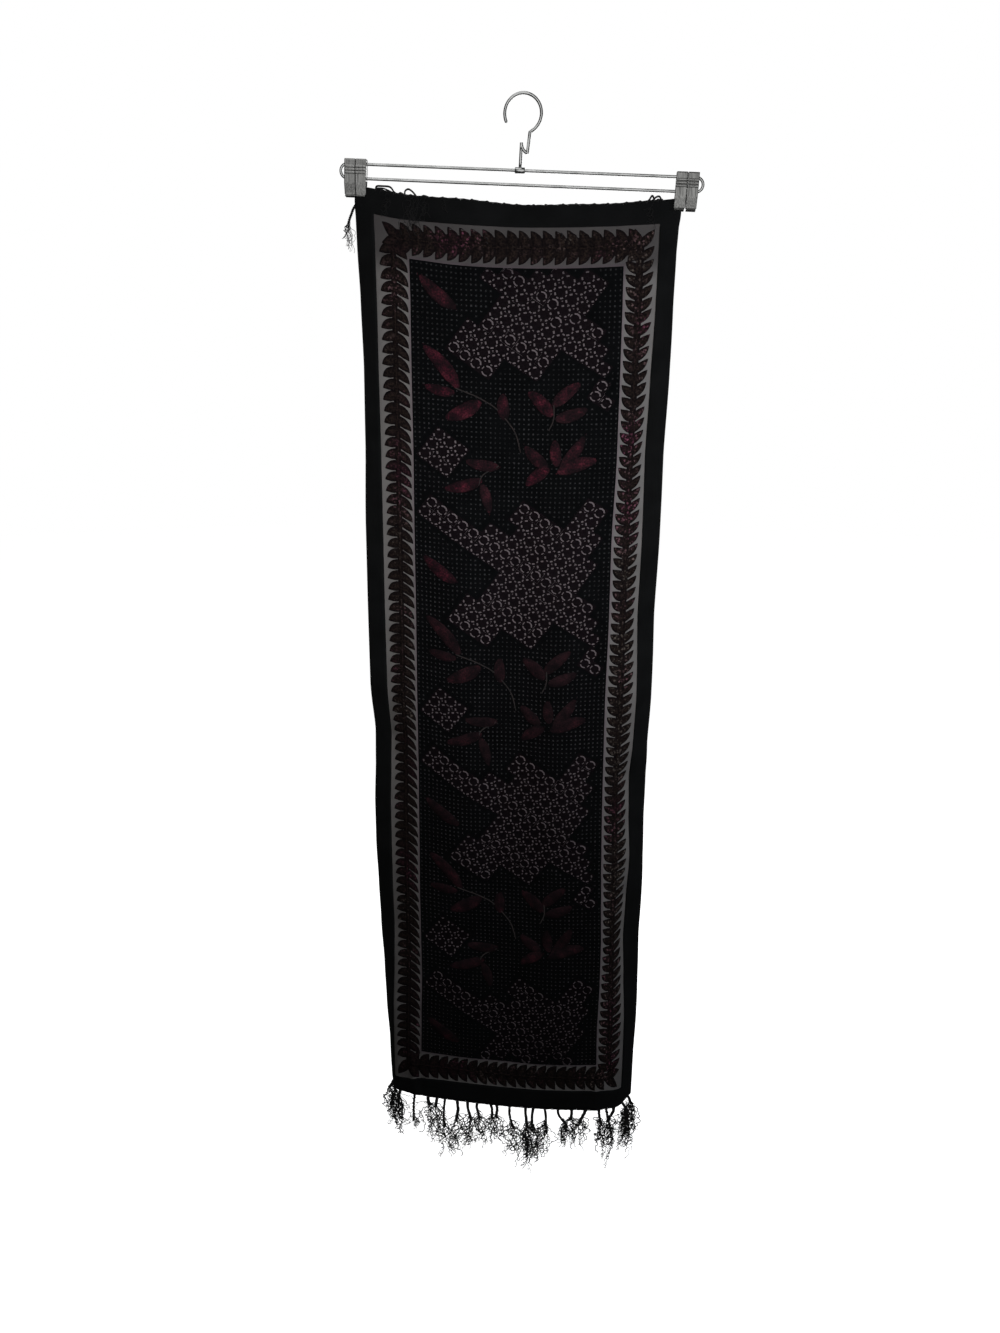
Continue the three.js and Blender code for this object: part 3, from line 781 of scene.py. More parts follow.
# The ring patch of one repeat: its outline, across and down from the repeat's start
PATCH = [
    (-133, 166), (-108, 154), (-64, 172), (-34, 190), (-6, 192), (12, 154), (26, 158), (66, 176), (98, 152),
    (118, 158), (110, 188), (114, 244), (92, 276), (110, 302), (116, 340), (88, 336), (62, 318), (44, 324),
    (28, 346), (-12, 324), (-36, 350), (-88, 312), (-70, 288), (-34, 276), (-18, 254), (-24, 232), (-60, 212),
    (-133, 178),
]
SQUARE_AT = (-93, 95)  # the middle of the small square patch of each repeat: three rings by three
THREE_RINGS = [(110, 8), (102, 20), (116, 29)]
RING_AT = (18.3, 239.6)  # a ring of each repeat, in its row 0


def inside(outline, across, down):
    """Which points lie inside a closed outline."""
    found = np.zeros(np.shape(across), bool)
    x0, y0 = outline[-1]
    for x1, y1 in outline:
        crosses = (y0 > down) != (y1 > down)
        slope = (x1 - x0) * (down - y0) / (y1 - y0 if y1 != y0 else 1.0) + x0
        found ^= crosses & (across < slope)
        x0, y0 = x1, y1
    return found


def ring_sites():
    """The middles of the rings, and which of them are drawn as whole lines."""
    sites, whole = [], []
    for i in range(-14, 15):
        for j in range(-12, 13):
            place = np.array(RING_AT) + i * ROW_STEP + j * ROW_ABOVE
            if inside(PATCH, *place):
                sites.append(place)
                whole.append(j in WHOLE_ROWS)
    for i in (-1, 0, 1):
        for j in (-1, 0, 1):
            sites.append(np.array(SQUARE_AT) + i * ROW_STEP + j * ROW_ABOVE)
            whole.append(False)
    for place in THREE_RINGS:
        sites.append(np.array(place, float))
        whole.append(True)
    chosen = np.concatenate([np.array(sites) + (0, REPEAT_AT + REPEAT * k) for k in REPEATS])
    shown = in_panel(chosen, RING_SIZE * 0.3)
    return chosen[shown], np.tile(whole, len(REPEATS))[shown]


def in_panel(sites, margin):
    """Which places lie in the panel, a margin inside its edge."""
    across, down = sites.T
    inside = (down > PANEL_TOP + margin) & (down < PANEL_BOTTOM - margin)
    return inside & (np.abs(across) < HALF_PANEL - margin)


def covered(sites, across, down, margin):
    """Which points lie on a ring's own tile, or within a margin of it."""
    lattice = np.linalg.inv(np.stack([ROW_STEP, -ROW_ABOVE], 1))
    reach = 0.5 + margin / RING_SIZE
    found = np.zeros(np.shape(across), bool)
    for x, y in sites:
        p = lattice[0, 0] * (across - x) + lattice[0, 1] * (down - y)
        q = lattice[1, 0] * (across - x) + lattice[1, 1] * (down - y)
        found |= (np.abs(p) < reach) & (np.abs(q) < reach)
    return found


SPLIT = 6  # a dotted cell at a patch's edge is cut into this many parts each way
OVERLAP = 0.6  # and its parts reach this far under the ring's tile


def dotted_ground(rings):
    """The plain part of the panel: pile with a thin dot in each cell, closed up to the ring patches."""
    columns = spaced([-HALF_PANEL + PANEL_RIM, HALF_PANEL - PANEL_RIM], DOT_PITCH)
    rows = spaced([PANEL_TOP + PANEL_RIM, PANEL_BOTTOM - PANEL_RIM], DOT_PITCH)
    wide, tall = len(columns), len(rows)
    u, v = np.meshgrid(columns, rows)
    on_tile = covered(rings, u, v, 0.0)
    corners = on_tile[:-1, :-1].astype(int) + on_tile[1:, :-1] + on_tile[:-1, 1:] + on_tile[1:, 1:]
    middle_u, middle_v = np.meshgrid(cell_middles(columns), cell_middles(rows))
    near = covered(rings, middle_u, middle_v, DOT_CLEAR) & (corners < 4)
    r, c = np.nonzero((corners == 0) & ~near)
    astray = rng.uniform(-DOT_ASTRAY, DOT_ASTRAY, (len(r), 2))
    middle = np.stack([middle_u[r, c], middle_v[r, c]], 1) + astray
    size = DOT * rng.uniform(*DOT_SIZES, (len(middle), 2)) / 2
    signs = np.array([(-1, -1), (1, -1), (1, 1), (-1, 1)])
    dots = (middle[:, None] + size[:, None] * signs).reshape(-1, 2)
    corner = np.stack([r * wide + c, r * wide + c + 1, (r + 1) * wide + c + 1, (r + 1) * wide + c], 1)
    first = wide * tall + 4 * np.arange(len(middle))[:, None] + np.arange(4)
    faces = []
    for k in range(4):
        m = (k + 1) % 4
        faces.append(np.stack([corner[:, k], first[:, k], first[:, m], corner[:, m]], 1))
    shape = Shape()
    add_used(shape, np.concatenate([np.stack([u, v], -1).reshape(-1, 2), dots]), np.concatenate(faces))
    shape.add(np.c_[dots, np.full(len(dots), THIN_PILE)], np.arange(len(dots)).reshape(-1, 4), slot=1)
    for row, column in zip(*np.nonzero((corners > 0) & (corners < 4) | near)):
        edge_cell(shape, columns[column:column + 2], rows[row:row + 2], rings)
    return shape.cloth_object("dotted_pile", [PANEL_PILE, THINNED])


def add_used(shape, flat, faces):
    """Add only the points that faces use, as the top of the pile."""
    used = np.unique(faces)
    renumbered = np.full(len(flat), -1)
    renumbered[used] = np.arange(len(used))
    shape.add(np.c_[flat[used], np.full(len(used), PILE)], renumbered[faces])


def edge_cell(shape, columns, rows, rings):
    """A cell at a patch's edge: solid pile in small parts, without those that lie on a ring's tile."""
    u, v = np.meshgrid(np.linspace(*columns, SPLIT + 1), np.linspace(*rows, SPLIT + 1))
    wide = SPLIT + 1
    middle_u = (u[:-1, :-1] + u[1:, 1:]) / 2
    middle_v = (v[:-1, :-1] + v[1:, 1:]) / 2
    close = rings[np.hypot(rings[:, 0] - middle_u.mean(), rings[:, 1] - middle_v.mean()) < 2 * RING_SIZE]
    r, c = np.nonzero(~covered(close, middle_u, middle_v, -OVERLAP))
    if len(r):
        a = r * wide + c
        add_used(shape, np.stack([u, v], -1).reshape(-1, 2), np.stack([a, a + wide, a + wide + 1, a + 1], 1))


def arc_opening(middle, half_length, inner, outer):
    """A curved opening: part of a ring, its middle and half length in degrees, its radii in millimetres."""
    angles = [math.radians(middle + half_length * k) for k in (-1, -0.33, 0.33, 1)]
    ring = [(outer * math.cos(a), outer * math.sin(a)) for a in angles]
    return ring + [(inner * math.cos(a), inner * math.sin(a)) for a in angles[::-1]]


def ring_tile(arcs):
    """One ring's square of pile with its openings cut out, one cell wide."""
    half = RING_SIZE / 2
    outlines = [[(-half, -half), (half, -half), (half, half), (-half, half)]]
    outlines += [arc_opening(*arc) for arc in arcs]
    points, edges = [], []
    for outline in outlines:
        start = len(points)
        points += [Vector(p) for p in outline]
        edges += [(start + i, start + (i + 1) % len(outline)) for i in range(len(outline))]
    made, _, triangles, *_ = delaunay_2d_cdt(points, edges, [], 0, 1e-5)
    made = np.array([tuple(p) for p in made])
    kept = []
    for t in triangles:
        x, y = made[list(t)].mean(0)
        if not any(inside(o, np.array(x), np.array(y)) for o in outlines[1:]):
            kept.append(tuple(t))
    return made / RING_SIZE, kept


# The openings of a beaded ring and of one drawn as lines, each in a few kinds. They are arcs: middle and half
# length in degrees, inner and outer radius
CORNER_BEAD = (45, 5, 9.9, 11.5)
BEADS = [
    [*((45 + 90 * k, 14, 5.8, 7.9) for k in range(4)), (0, 12, 6.5, 8.1), (90, 10, 6.5, 8.1), CORNER_BEAD],
    [*((42 + 90 * k, 12, 5.9, 8.0) for k in range(4)), (3, 11, 6.5, 8.1), (93, 9, 6.6, 8.1),
     (270, 6, 6.9, 8.1), CORNER_BEAD],
    [*((48 + 90 * k, 15, 5.9, 7.8) for k in range(4)), (-3, 10, 6.5, 8.1), (90, 12, 6.5, 8.1), CORNER_BEAD],
]
LINES = [
    [(-80, 52, 5.0, 6.9), (98, 40, 5.4, 6.9), (10, 17, 5.6, 6.9), (184, 18, 5.7, 6.9)],
    [(-72, 58, 5.1, 6.9), (108, 34, 5.3, 6.9), (24, 15, 5.7, 6.9), (180, 20, 5.6, 6.9)],
]
LINE_SHARE = (0.04, 0.93)  # how many rings are drawn as lines in the beaded rows and in the whole rows


def ring_patches(rings, whole):
    """The patches of rings: whole lines in some rows, beads in the others."""
    shape = Shape()
    beads = [ring_tile(arcs) for arcs in BEADS]
    lines = [ring_tile(arcs) for arcs in LINES]
    for (x, y), drawn in zip(rings, whole):
        kinds = lines if rng.random() < LINE_SHARE[int(drawn)] else beads
        points, triangles = kinds[rng.integers(0, len(kinds))]
        wobble = 1 + rng.uniform(-0.03, 0.03)
        across, down = (points * wobble @ np.stack([ROW_STEP, -ROW_ABOVE])).T
        u = np.clip(across + x, -HALF_PANEL + PANEL_RIM, HALF_PANEL - PANEL_RIM)
        v = np.clip(down + y, PANEL_TOP + PANEL_RIM, PANEL_BOTTOM - PANEL_RIM)
        shape.add(np.c_[u, v, np.full(len(u), PILE + TILE_LIFT)], [t[::-1] for t in triangles])
    return shape.cloth_object("ring_patches", [LATTICE])


# The sprigs of one repeat: root, tip, width, bend, how bright the satin is, as painted highlight
SPRIG_LEAVES = [
    ((-76, 262), (-124, 228), 18.0, 0.05, 0.85),
    ((-75, 12), (-122, -38), 19.2, -0.06, 1.0),
    ((-78, 18), (-119, 13), 14.4, 0.05, 0.95),
    ((-46, 29), (-93, 53), 20.4, 0.05, 0.95),
    ((-11, 47), (-14, 14), 16.8, 0.08, 0.8),
    ((46, 42), (13, 13), 18.0, -0.06, 0.85),
    ((50, 32), (85, 1), 16.8, 0.04, 0.6),
    ((54, 47), (95, 32), 16.8, -0.05, 0.45),
    ((42, 106), (12, 80), 16.8, 0.05, 0.6),
    ((56, 104), (53, 70), 15.6, 0.03, 0.75),
    ((62, 106), (92, 66), 16.8, -0.05, 0.6),
    ((60, 115), (112, 99), 19.2, 0.06, 0.75),
    ((46, 112), (13, 133), 16.8, -0.06, 0.95),
    ((-21, 107), (-67, 103), 15.6, 0.06, 0.5),
    ((-43, 126), (-96, 143), 16.8, 0.05, 1.0),
    ((-42, 134), (-29, 174), 14.4, 0.04, 0.35),
]
REPEAT_LIGHT = {-1: 0.9, 0: 1.0, 1: 0.30, 2: 0.36}  # painted light on the satin of each repeat against the table: the lower repeats are painted in shade
ROOT_PAST = 0.12  # a leaf reaches this share of its length past its root
# painted shade: the share of a satin leaf's tone left at its edges
SATIN_EDGE_LIGHT = 0.45
STEM_WIDTH = 1.7
STEM_LIFTS = (PILE - 0.1, 0.95)
# Thin stems of one repeat
SPRIG_STEMS = [
    [(-76, 14), (-60, 19), (-46, 24), (-24, 36), (-8, 53), (2, 68), (8, 90)],
    [(50, 30), (50, 48), (44, 62)],
    [(-20, 108), (-40, 120), (-46, 134)],
]


def smooth_path(points, steps=5):
    """Points eased onto a smooth line through them."""
    p = [np.array(q, float) for q in points]
    p = [2 * p[0] - p[1], *p, 2 * p[-1] - p[-2]]
    path = []
    for a, b, c, d in zip(p, p[1:], p[2:], p[3:]):
        for t in np.arange(steps) / steps:
            bend, twist = 2 * a - 5 * b + 4 * c - d, 3 * b - a - 3 * c + d
            path.append(0.5 * (2 * b + (c - a) * t + bend * t**2 + twist * t**3))
    path.append(p[-2])
    return np.array(path)


def clear_of_ends(down, margin):
    return min(down) > PANEL_TOP + margin and max(down) < PANEL_BOTTOM - margin


def sprigs():
    """The satin leaves and their stems, left out where the panel ends."""
    shape = Shape()
    for k in REPEATS:
        top = REPEAT_AT + REPEAT * k
        for root, tip, width, bend, tone in SPRIG_LEAVES:
            ends = [(x + rng.uniform(-1.5, 1.5), y + top + rng.uniform(-1.5, 1.5)) for x, y in (root, tip)]
            if clear_of_ends([y for _, y in ends], 4):
                # painted light and shade: each leaf's tone sets how much painted highlight or shade its satin
                # gets
                shade = tone * REPEAT_LIGHT[k] * rng.uniform(0.75, 1.1)
                root, tip = np.array(ends)
                root = root + (root - tip) * ROOT_PAST
                leaf(shape, root, tip, bend, width, SATIN_LEAF, SPRIG_LEAF, shade, SATIN_EDGE_LIGHT)
        for stem in SPRIG_STEMS:
            path = smooth_path([(x, y + top) for x, y in stem])
            if clear_of_ends(path[:, 1], 3):
                strip(shape, path, STEM_WIDTH, STEM_LIFTS, 1)
    return shape.cloth_object("satin_sprigs", [SATIN, STEM])


# ---- threads ----

TUBE_UP = np.array([0.31, 0.93, 0.2])  # a direction that no thread follows


def tube(shape, path, radius, sides=3, taper=1.0):
    """A closed tube along a path. taper is the end's share of the start's radius."""
    path = np.asarray(path, float)
    ways = unit(np.gradient(path, axis=0))
    first = unit(np.cross(ways, TUBE_UP))
    points = rings_round(path, ways, first, radius * np.linspace(1, taper, len(path)), sides)
    shape.add(points, skin_faces(len(path), sides))


def along_path(path, steps):
    """A path cut into equal steps."""
    path = np.asarray(path, float)
    reach = np.r_[0, np.cumsum(np.linalg.norm(np.diff(path, axis=0), axis=1))]
    at = np.linspace(0, reach[-1], steps)
    return np.stack([np.interp(at, reach, path[:, i]) for i in range(3)], 1)


PLIES = 3
PLY_STEPS = 16
PLY_TURNS = 0.16  # for each millimetre of a neck
PLY_OUT = 0.55  # how far a ply lies from the neck's middle, as a share of the neck's radius
PLY_THICK = 0.58  # its own radius, as a share of the same


def twisted_neck(shape, path, radius):
    """Yarns twisted round each other."""
    path = along_path(path, PLY_STEPS)
    length = np.linalg.norm(np.diff(path, axis=0), axis=1).sum()
    t = np.linspace(0, 1, len(path))
    for ply in range(PLIES):
        angle = 2 * math.pi * (ply / PLIES + PLY_TURNS * length * t)
        offset = np.stack([np.cos(angle), np.sin(angle), np.zeros_like(angle)], 1) * radius * PLY_OUT
        tube(shape, path + offset, radius * PLY_THICK, sides=4)


CURL_STEP = 1.4


def curls(shape, start, way, length, aside, wander, curl, thickness):
    """One loose thread that curls as it goes.

    way is where its end lies from its start, and aside is how far it swings out soon after its start.
    """
    count = max(8, int(length / CURL_STEP))
    t = np.linspace(0, 1, count)
    path = np.array(start) + t[:, None] * np.array(way, float)
    path += np.sin(math.pi * np.clip(t * 1.6, 0, 1))[:, None] * np.array(aside)
    for waves, size in ((rng.uniform(0.7, 1.5), wander), (rng.uniform(2.0, 3.4), wander * 0.5)):
        phase = rng.uniform(0, 2 * math.pi, 2)
        path[:, 0] += size * (np.sin(2 * math.pi * waves * t + phase[0]) - math.sin(phase[0]))
        path[:, 1] += size * 0.5 * (np.sin(2 * math.pi * waves * t + phase[1]) - math.sin(phase[1]))
    loops = length / rng.uniform(7.0, 12.0)
    phase = rng.uniform(0, 2 * math.pi, 3)
    angle = 2 * math.pi * loops * t + 1.3 * np.sin(2 * math.pi * loops * 0.31 * t + phase[0])
    grow = np.clip(t * 6, 0, 1) * (0.65 + 0.35 * np.sin(2 * math.pi * loops * 0.23 * t + phase[1])) * curl
    path[:, 0] += grow * np.sin(angle + phase[2])
    path[:, 1] += grow * 0.6 * np.cos(angle)
    path[:, 2] += grow * 0.9 * np.cos(angle + phase[2])
    tube(shape, path, thickness, taper=0.85)


LOOSE = np.array([1.0, 0.45, 0.5])  # how far threads stray across, to the front and back, and up and down
LONG_THREADS = 0.72  # this share of the threads reaches down to the tassel's end, the others part of the way


def frizz(shape, neck, way, threads, spread, curl, thickness):
    """Loose curly threads that part from the lower third of a neck and end round one place."""
    way = np.array(way, float)
    length = np.linalg.norm(way)
    for _ in range(threads):
        share = rng.uniform(0.66, 1.04) if rng.random() < LONG_THREADS else rng.uniform(0.3, 0.66)
        start = neck[rng.integers(2 * len(neck) // 3, len(neck))]
        aside = rng.normal(0, 1, 3) * LOOSE * spread
        end = way * share + aside + rng.normal(0, 0.5, 3) * LOOSE * spread
        size, thick = curl * rng.uniform(0.5, 1.3), thickness * rng.uniform(0.65, 1.2)
        curls(shape, start, end, length * share * 1.3, aside * 0.75, spread * 0.4, size, thick)


# The bottom tassels: across, how far the neck goes to the right and down, the whole length, how far to the
# right the end lies, threads, how wide they spread
BOTTOM_TASSELS = [
    (-190, -7, 12.5, 62, -8, 15, 7.15), (-184, 1, 15, 76, 2, 16, 7.15), (-168, -3, 12.5, 66, -2, 17, 7.15),
    (-143, -2, 47.5, 62, -3, 10, 4.42), (-122, 1, 12.5, 66, 3, 14, 7.8), (-108, -3, 17.5, 70, -7, 12, 6.76),
    (-96, -2, 52.5, 94, 4, 14, 6.76), (-78, -1, 35, 86, -6, 15, 7.15), (-62, 6, 33.75, 84, -3, 14, 6.5),
    (-47, 4, 27.5, 70, 8, 15, 7.8), (-26, 2, 25, 64, -3, 15, 6.76), (-17, -1, 22.5, 60, 2, 9, 5.46),
    (3, 6, 40, 84, 9, 19, 8.45), (27, 3, 35, 98, 5, 17, 6.76), (39, -2, 33.75, 90, -8, 17, 7.54),
    (56, 3, 32.5, 86, -14, 17, 7.54), (76, 14, 27.5, 62, 15, 13, 5.98), (97, -1, 17.5, 68, -2, 15, 6.76),
    (119, -9, 22.5, 60, -10, 14, 6.5), (139, 3, 22.5, 60, 3, 15, 6.5), (151, 9, 42.5, 94, 4, 12, 3.9),
    (165, -8, 22.5, 64, -3, 13, 5.98), (180, 9, 15, 82, 4, 26, 5.98), (193, 5, 12.5, 76, -4, 26, 5.98),
]
NECK = 2.5
YARN_THICK = 0.66
TASSEL_CURL = 3.0
TASSEL_LONGER = 1.13  # the threads hang this much longer than the table's whole length


def edge_strand(shape, half_width, down, lift, ripple, radius):
    """A yarn that runs along an end of the cloth, a little waved. ripple is its height, waves and phase."""
    edge = spaced([-half_width, half_width], 4.0)
    height, waves, phase = ripple
    flat = np.stack([edge, down + height * np.sin(edge * waves + phase), np.full_like(edge, lift)], 1)
    tube(shape, hang(flat), radius, sides=4)


def bottom_fringe():
    shape = Shape()
    for i in range(3):
        down, lift = LENGTH + 0.5 + 0.7 * i, -0.2 + 0.3 * math.sin(2.1 * i)
        edge_strand(shape, HALF_WIDTH, down, lift, (0.35, 0.9, 2 * i), 0.62)
    for at, aside, neck, length, swing, threads, spread in BOTTOM_TASSELS:
        root = hang([(at, LENGTH + 0.6, -0.2)])[0]
        bend = rng.uniform(-2.2, 2.2)
        turn = [root, root + (aside * 0.25 + bend, 0.6, -neck * 0.45), root + (aside, 0.0, -neck)]
        turn = smooth_path(turn, 6)
        twisted_neck(shape, turn, NECK * rng.uniform(0.9, 1.15))
        end = root + (swing, 0, -length * TASSEL_LONGER)
        frizz(shape, turn, end - turn[-2], threads, spread, TASSEL_CURL, YARN_THICK)
    return shape.object("bottom_tassels", YARN)


TOP_TASSELS = 19
TOP_PITCH = 19.0
TOP_LENGTH = 84.0
LEFT_TUFT = [(-196, 14, -112), (-206, 14, -113), (-212, 14, -120), (-216, 14, -129), (-219, 14, -137)]
# Threads that loop up over the top edge: across and up from one root to the other, and the radius
EDGE_LOOPS = [
    ([(-177, -2), (-176, 3), (-168, 5), (-160, 6), (-156, 3), (-154, -2)], 1.125),
    ([(-176, 1), (-167, 2.5), (-158, 1)], 0.9),
    ([(-141, -2), (-141, 4), (-137, 7), (-132, 5), (-127, 0), (-126, -3)], 1.125),
    ([(-150, -1), (-147, 2), (-143, 1)], 0.75),
    ([(158, -2), (162, 2), (165, 6), (167, 3), (168, -2)], 1.125),
    ([(165, 0), (170, 4), (174, 4), (177, -2)], 1.125),
    ([(-122, -1), (-118, 2), (-112, 1), (-108, -1)], 0.675),
]
# Bunches of fine threads that fell forward over the top edge: across and down, how far they reach, how many
FRONT_BUNCHES = [
    (-157, 2, 22, 3), (-134, 3, 44, 7), (-122, 2, 46, 7), (-110, 4, 26, 4), (-92, 1, 12, 2), (160, 2, 26, 3),
]
LOOSE_STEPS = 26
LOOSE_THICK = 0.24


def fallen_thread(shape, across, down, reach):
    """A fine thread that lies in loose loops on the front of the cloth."""
    t = np.linspace(0, 1, LOOSE_STEPS)
    phase = rng.uniform(0, 2 * math.pi, 3)
    loops = rng.uniform(1.5, 3.2)
    swing = rng.uniform(1.2, 3.4)
    u = across + rng.uniform(-8, 8) * t + swing * np.sin(2 * math.pi * loops * t + phase[0])
    v = down + reach * t + swing * 0.8 * np.cos(2 * math.pi * loops * 1.2 * t + phase[1])
    v = np.maximum(v, 0.6)
    tube(shape, hang(np.stack([u, v, np.full(LOOSE_STEPS, PILE + 0.45)], 1)), LOOSE_THICK)


def top_fringe():
    """The tassels behind the cloth, a stray one at the left, the loops and the threads that fell forward."""
    shape = Shape()
    for i in range(TOP_TASSELS):
        at = (i - (TOP_TASSELS - 1) / 2) * TOP_PITCH + rng.uniform(-3, 3)
        length = TOP_LENGTH * rng.uniform(0.8, 1.05)
        t = np.linspace(0, 1, 9)
        lift = np.interp(t, [0, 0.06, 0.25, 1], [-0.5, -2.2, -5.5, -8.0])
        flat = np.stack([at + rng.uniform(-6, 6) * t**2, -1.2 + length * t, lift], 1)
        path = hang(flat)
        twisted_neck(shape, path[:4], NECK)
        frizz(shape, path[1:4], path[-1] - path[3], threads=11, spread=3.2, curl=1.8, thickness=YARN_THICK)
    tuft = smooth_path(LEFT_TUFT)
    twisted_neck(shape, tuft, 2.0)
    frizz(shape, tuft[-8:], (-2, -1, -19), threads=9, spread=2.6, curl=1.6, thickness=0.42)
    frizz(shape, tuft[-8:], (-1, -1, -34), threads=12, spread=3.0, curl=2.0, thickness=0.30)
    for i in range(2):
        edge_strand(shape, 178, -0.4 - 0.5 * i, -0.2, (0.3, 1.1, 2 * i), 0.5)
    for loop, thick in EDGE_LOOPS:
        points = smooth_path([(x, -up) for x, up in loop])
        tube(shape, hang(np.c_[points, np.linspace(0.6, -0.9, len(points))]), thick, sides=4)
    for across, down, reach, threads in FRONT_BUNCHES:
        for _ in range(threads):
            at, from_edge = across + rng.uniform(-5, 5), down + rng.uniform(-2, 6)
            fallen_thread(shape, at, from_edge, reach * rng.uniform(0.5, 1.0))
    return shape.object("top_tassels", YARN)


# ---- hanger ----

HANGER_TILT = 0.0487
WIRE = 1.7
UPPER_BAR = -82.0
LOWER_BAR = -98.0
HALF_SPAN = 210.5
HOOK_WIRE = 1.8
HOOK_INNER = 20.0
HOOK_TURN = 12.0
HOOK_END = 205
COLLAR = 3.4
CLIP_WIDTH = 13.2
SADDLE_HALF = 4.0
GAP = 0.3


def tilted(points):
    """Points of the level hanger as it hangs."""
    points = np.asarray(points, float)
    c, s = math.cos(HANGER_TILT), math.sin(HANGER_TILT)
    x, y, z = points.T
    return np.stack([x * c + z * s, y, z * c - x * s], 1)


WIRE_SIDES = 20


def wire(shape, path, radii, closed=False):
    """A round wire in the hanger's own plane, y = 0. radii is one radius, or one for each point."""
    path = np.asarray(path, float)
    ways = unit(np.roll(path, -1, 0) - np.roll(path, 1, 0) if closed else np.gradient(path, axis=0))
    first = np.tile((0.0, 1.0, 0.0), (len(path), 1))
    points = rings_round(path, ways, first, np.broadcast_to(radii, len(path)), WIRE_SIDES)
    shape.add(tilted(points), skin_faces(len(path), WIRE_SIDES, closed))


def hanger_loop():
    """Both bars and their rounded ends, as one bent wire."""
    radius = (UPPER_BAR - LOWER_BAR) / 2
    middle = (UPPER_BAR + LOWER_BAR) / 2
    path = []
    for x in np.linspace(-HALF_SPAN, HALF_SPAN, 30):
        path.append((x, 0, UPPER_BAR))
    for a in np.linspace(math.pi / 2, -math.pi / 2, 18)[1:-1]:
        path.append((HALF_SPAN + GAP + radius * math.cos(a), 0, middle + radius * math.sin(a)))
    for x in np.linspace(HALF_SPAN, -HALF_SPAN, 30):
        path.append((x, 0, LOWER_BAR))
    for a in np.linspace(-math.pi / 2, -3 * math.pi / 2, 18)[1:-1]:
        path.append((-HALF_SPAN - GAP + radius * math.cos(a), 0, middle + radius * math.sin(a)))
    shape = Shape()
    wire(shape, path, WIRE, closed=True)
    return shape.object("hanger_loop", CHROME)


COLLAR_SIDES = 28
# place along the bar, radius
COLLAR_PROFILE = [(-6.0, 1.9), (-6.0, 3.0), (-5.5, COLLAR), (5.5, COLLAR), (6.0, 3.0), (6.0, 1.9)]


def collar(shape):
    """A turned sleeve round the upper bar, open down its middle."""
    middles = np.array([(x, 0, UPPER_BAR) for x, _ in COLLAR_PROFILE])
    rows = len(middles)
    ways, first = np.tile((1.0, 0.0, 0.0), (rows, 1)), np.tile((0.0, 1.0, 0.0), (rows, 1))
    points = rings_round(middles, ways, first, [radius for _, radius in COLLAR_PROFILE], COLLAR_SIDES)
    shape.add(tilted(points), [face[::-1] for face in skin_faces(rows, COLLAR_SIDES, closed=True)])


def hanger_hook():
    """The stem, the hook with its rounded end and the collar that holds it on the upper bar."""
    radius = HOOK_INNER + HOOK_WIRE
    centre_z = -HOOK_INNER
    bend_z = centre_z - math.sqrt((radius + HOOK_TURN) ** 2 - HOOK_TURN**2)
    meet = math.atan2(bend_z - centre_z, HOOK_TURN)
    path = [(0, 0, z) for z in np.linspace(UPPER_BAR + COLLAR - 0.8, bend_z - 0.4, 4)]
    for a in np.linspace(math.pi, math.pi + meet, 14):
        path.append((HOOK_TURN + HOOK_TURN * math.cos(a), 0, bend_z - HOOK_TURN * math.sin(math.pi - a)))
    for a in np.linspace(meet, math.radians(HOOK_END), 60)[1:]:
        path.append((radius * math.cos(a), 0, centre_z + radius * math.sin(a)))
    path = np.array(path)
    end_way = (path[-1] - path[-2]) / np.linalg.norm(path[-1] - path[-2])
    steps = np.linspace(0, math.pi / 2, 6)[1:]
    cap = np.array([path[-1] + end_way * HOOK_WIRE * math.sin(a) for a in steps])
    radii = np.r_[np.full(len(path), HOOK_WIRE), HOOK_WIRE * np.maximum(np.cos(steps), 0.05)]
    shape = Shape()
    wire(shape, np.concatenate([path, cap]), radii)
    collar(shape)
    return shape.object("hanger_hook", CHROME)


# ---- clips ----

JAW_BELOW = 37.2
PINCH_FROM = 33.0
CLIPS = [
    ("clip_left_outer", -206.9, False),
    ("clip_left_inner", -193.3, True),
    ("clip_right_inner", 193.3, True),
    ("clip_right_outer", 206.9, False),
]
# A jaw's side view from top to bottom: out from the saddle's plate, down from the upper bar
JAW_TOP = [(-2.2, -4.7), (-0.8, -4.6), (-0.1, -3.7)]
RIBS = 3
RIB_PITCH = 3.4
RIB_FROM = 3.6
RIB = [(0.0, -1.3), (0.6, -1.0), (1.0, -0.3), (0.85, 0.35), (0.3, 0.8), (0.0, 0.95)]  # down from its middle
JAW_MIDDLE = [(0, 14), (-0.1, 20.5), (-0.5, 22.5)]
# and its lip: out from where it grips
JAW_LIP = [
    (0.5, PINCH_FROM - 1.5), (0, PINCH_FROM + 0.2), (0, JAW_BELOW - 3.2),
    (0.5, JAW_BELOW - 2.3), (2.2, JAW_BELOW - 0.5), (2.8, JAW_BELOW),
]
JAW_EDGE = [(0.0, 0.45), (0.3, 0.75), (0.9, 0.9)]  # in from a long edge, and how thick the jaw is there
LIP_NARROWER = 0.86
CHEEK_INSET = (0.15, 1.1)  # a cheek's outer and inner face, in from the clip's side
CHEEK_ENDS = (19.4, -3.6)  # down from the upper bar
CHEEK_HALF = SADDLE_HALF + 0.2


def jaw_profile(pinch):
    """A jaw's side view: out from the middle plane, down from the upper bar."""
    ribs = [(out, RIB_FROM + RIB_PITCH * i + down) for i in range(RIBS) for out, down in RIB]
    plate = [(SADDLE_HALF + GAP + out, down) for out, down in [*JAW_TOP, *ribs, *JAW_MIDDLE]]
    return np.array(plate + [(pinch + out, down) for out, down in JAW_LIP])


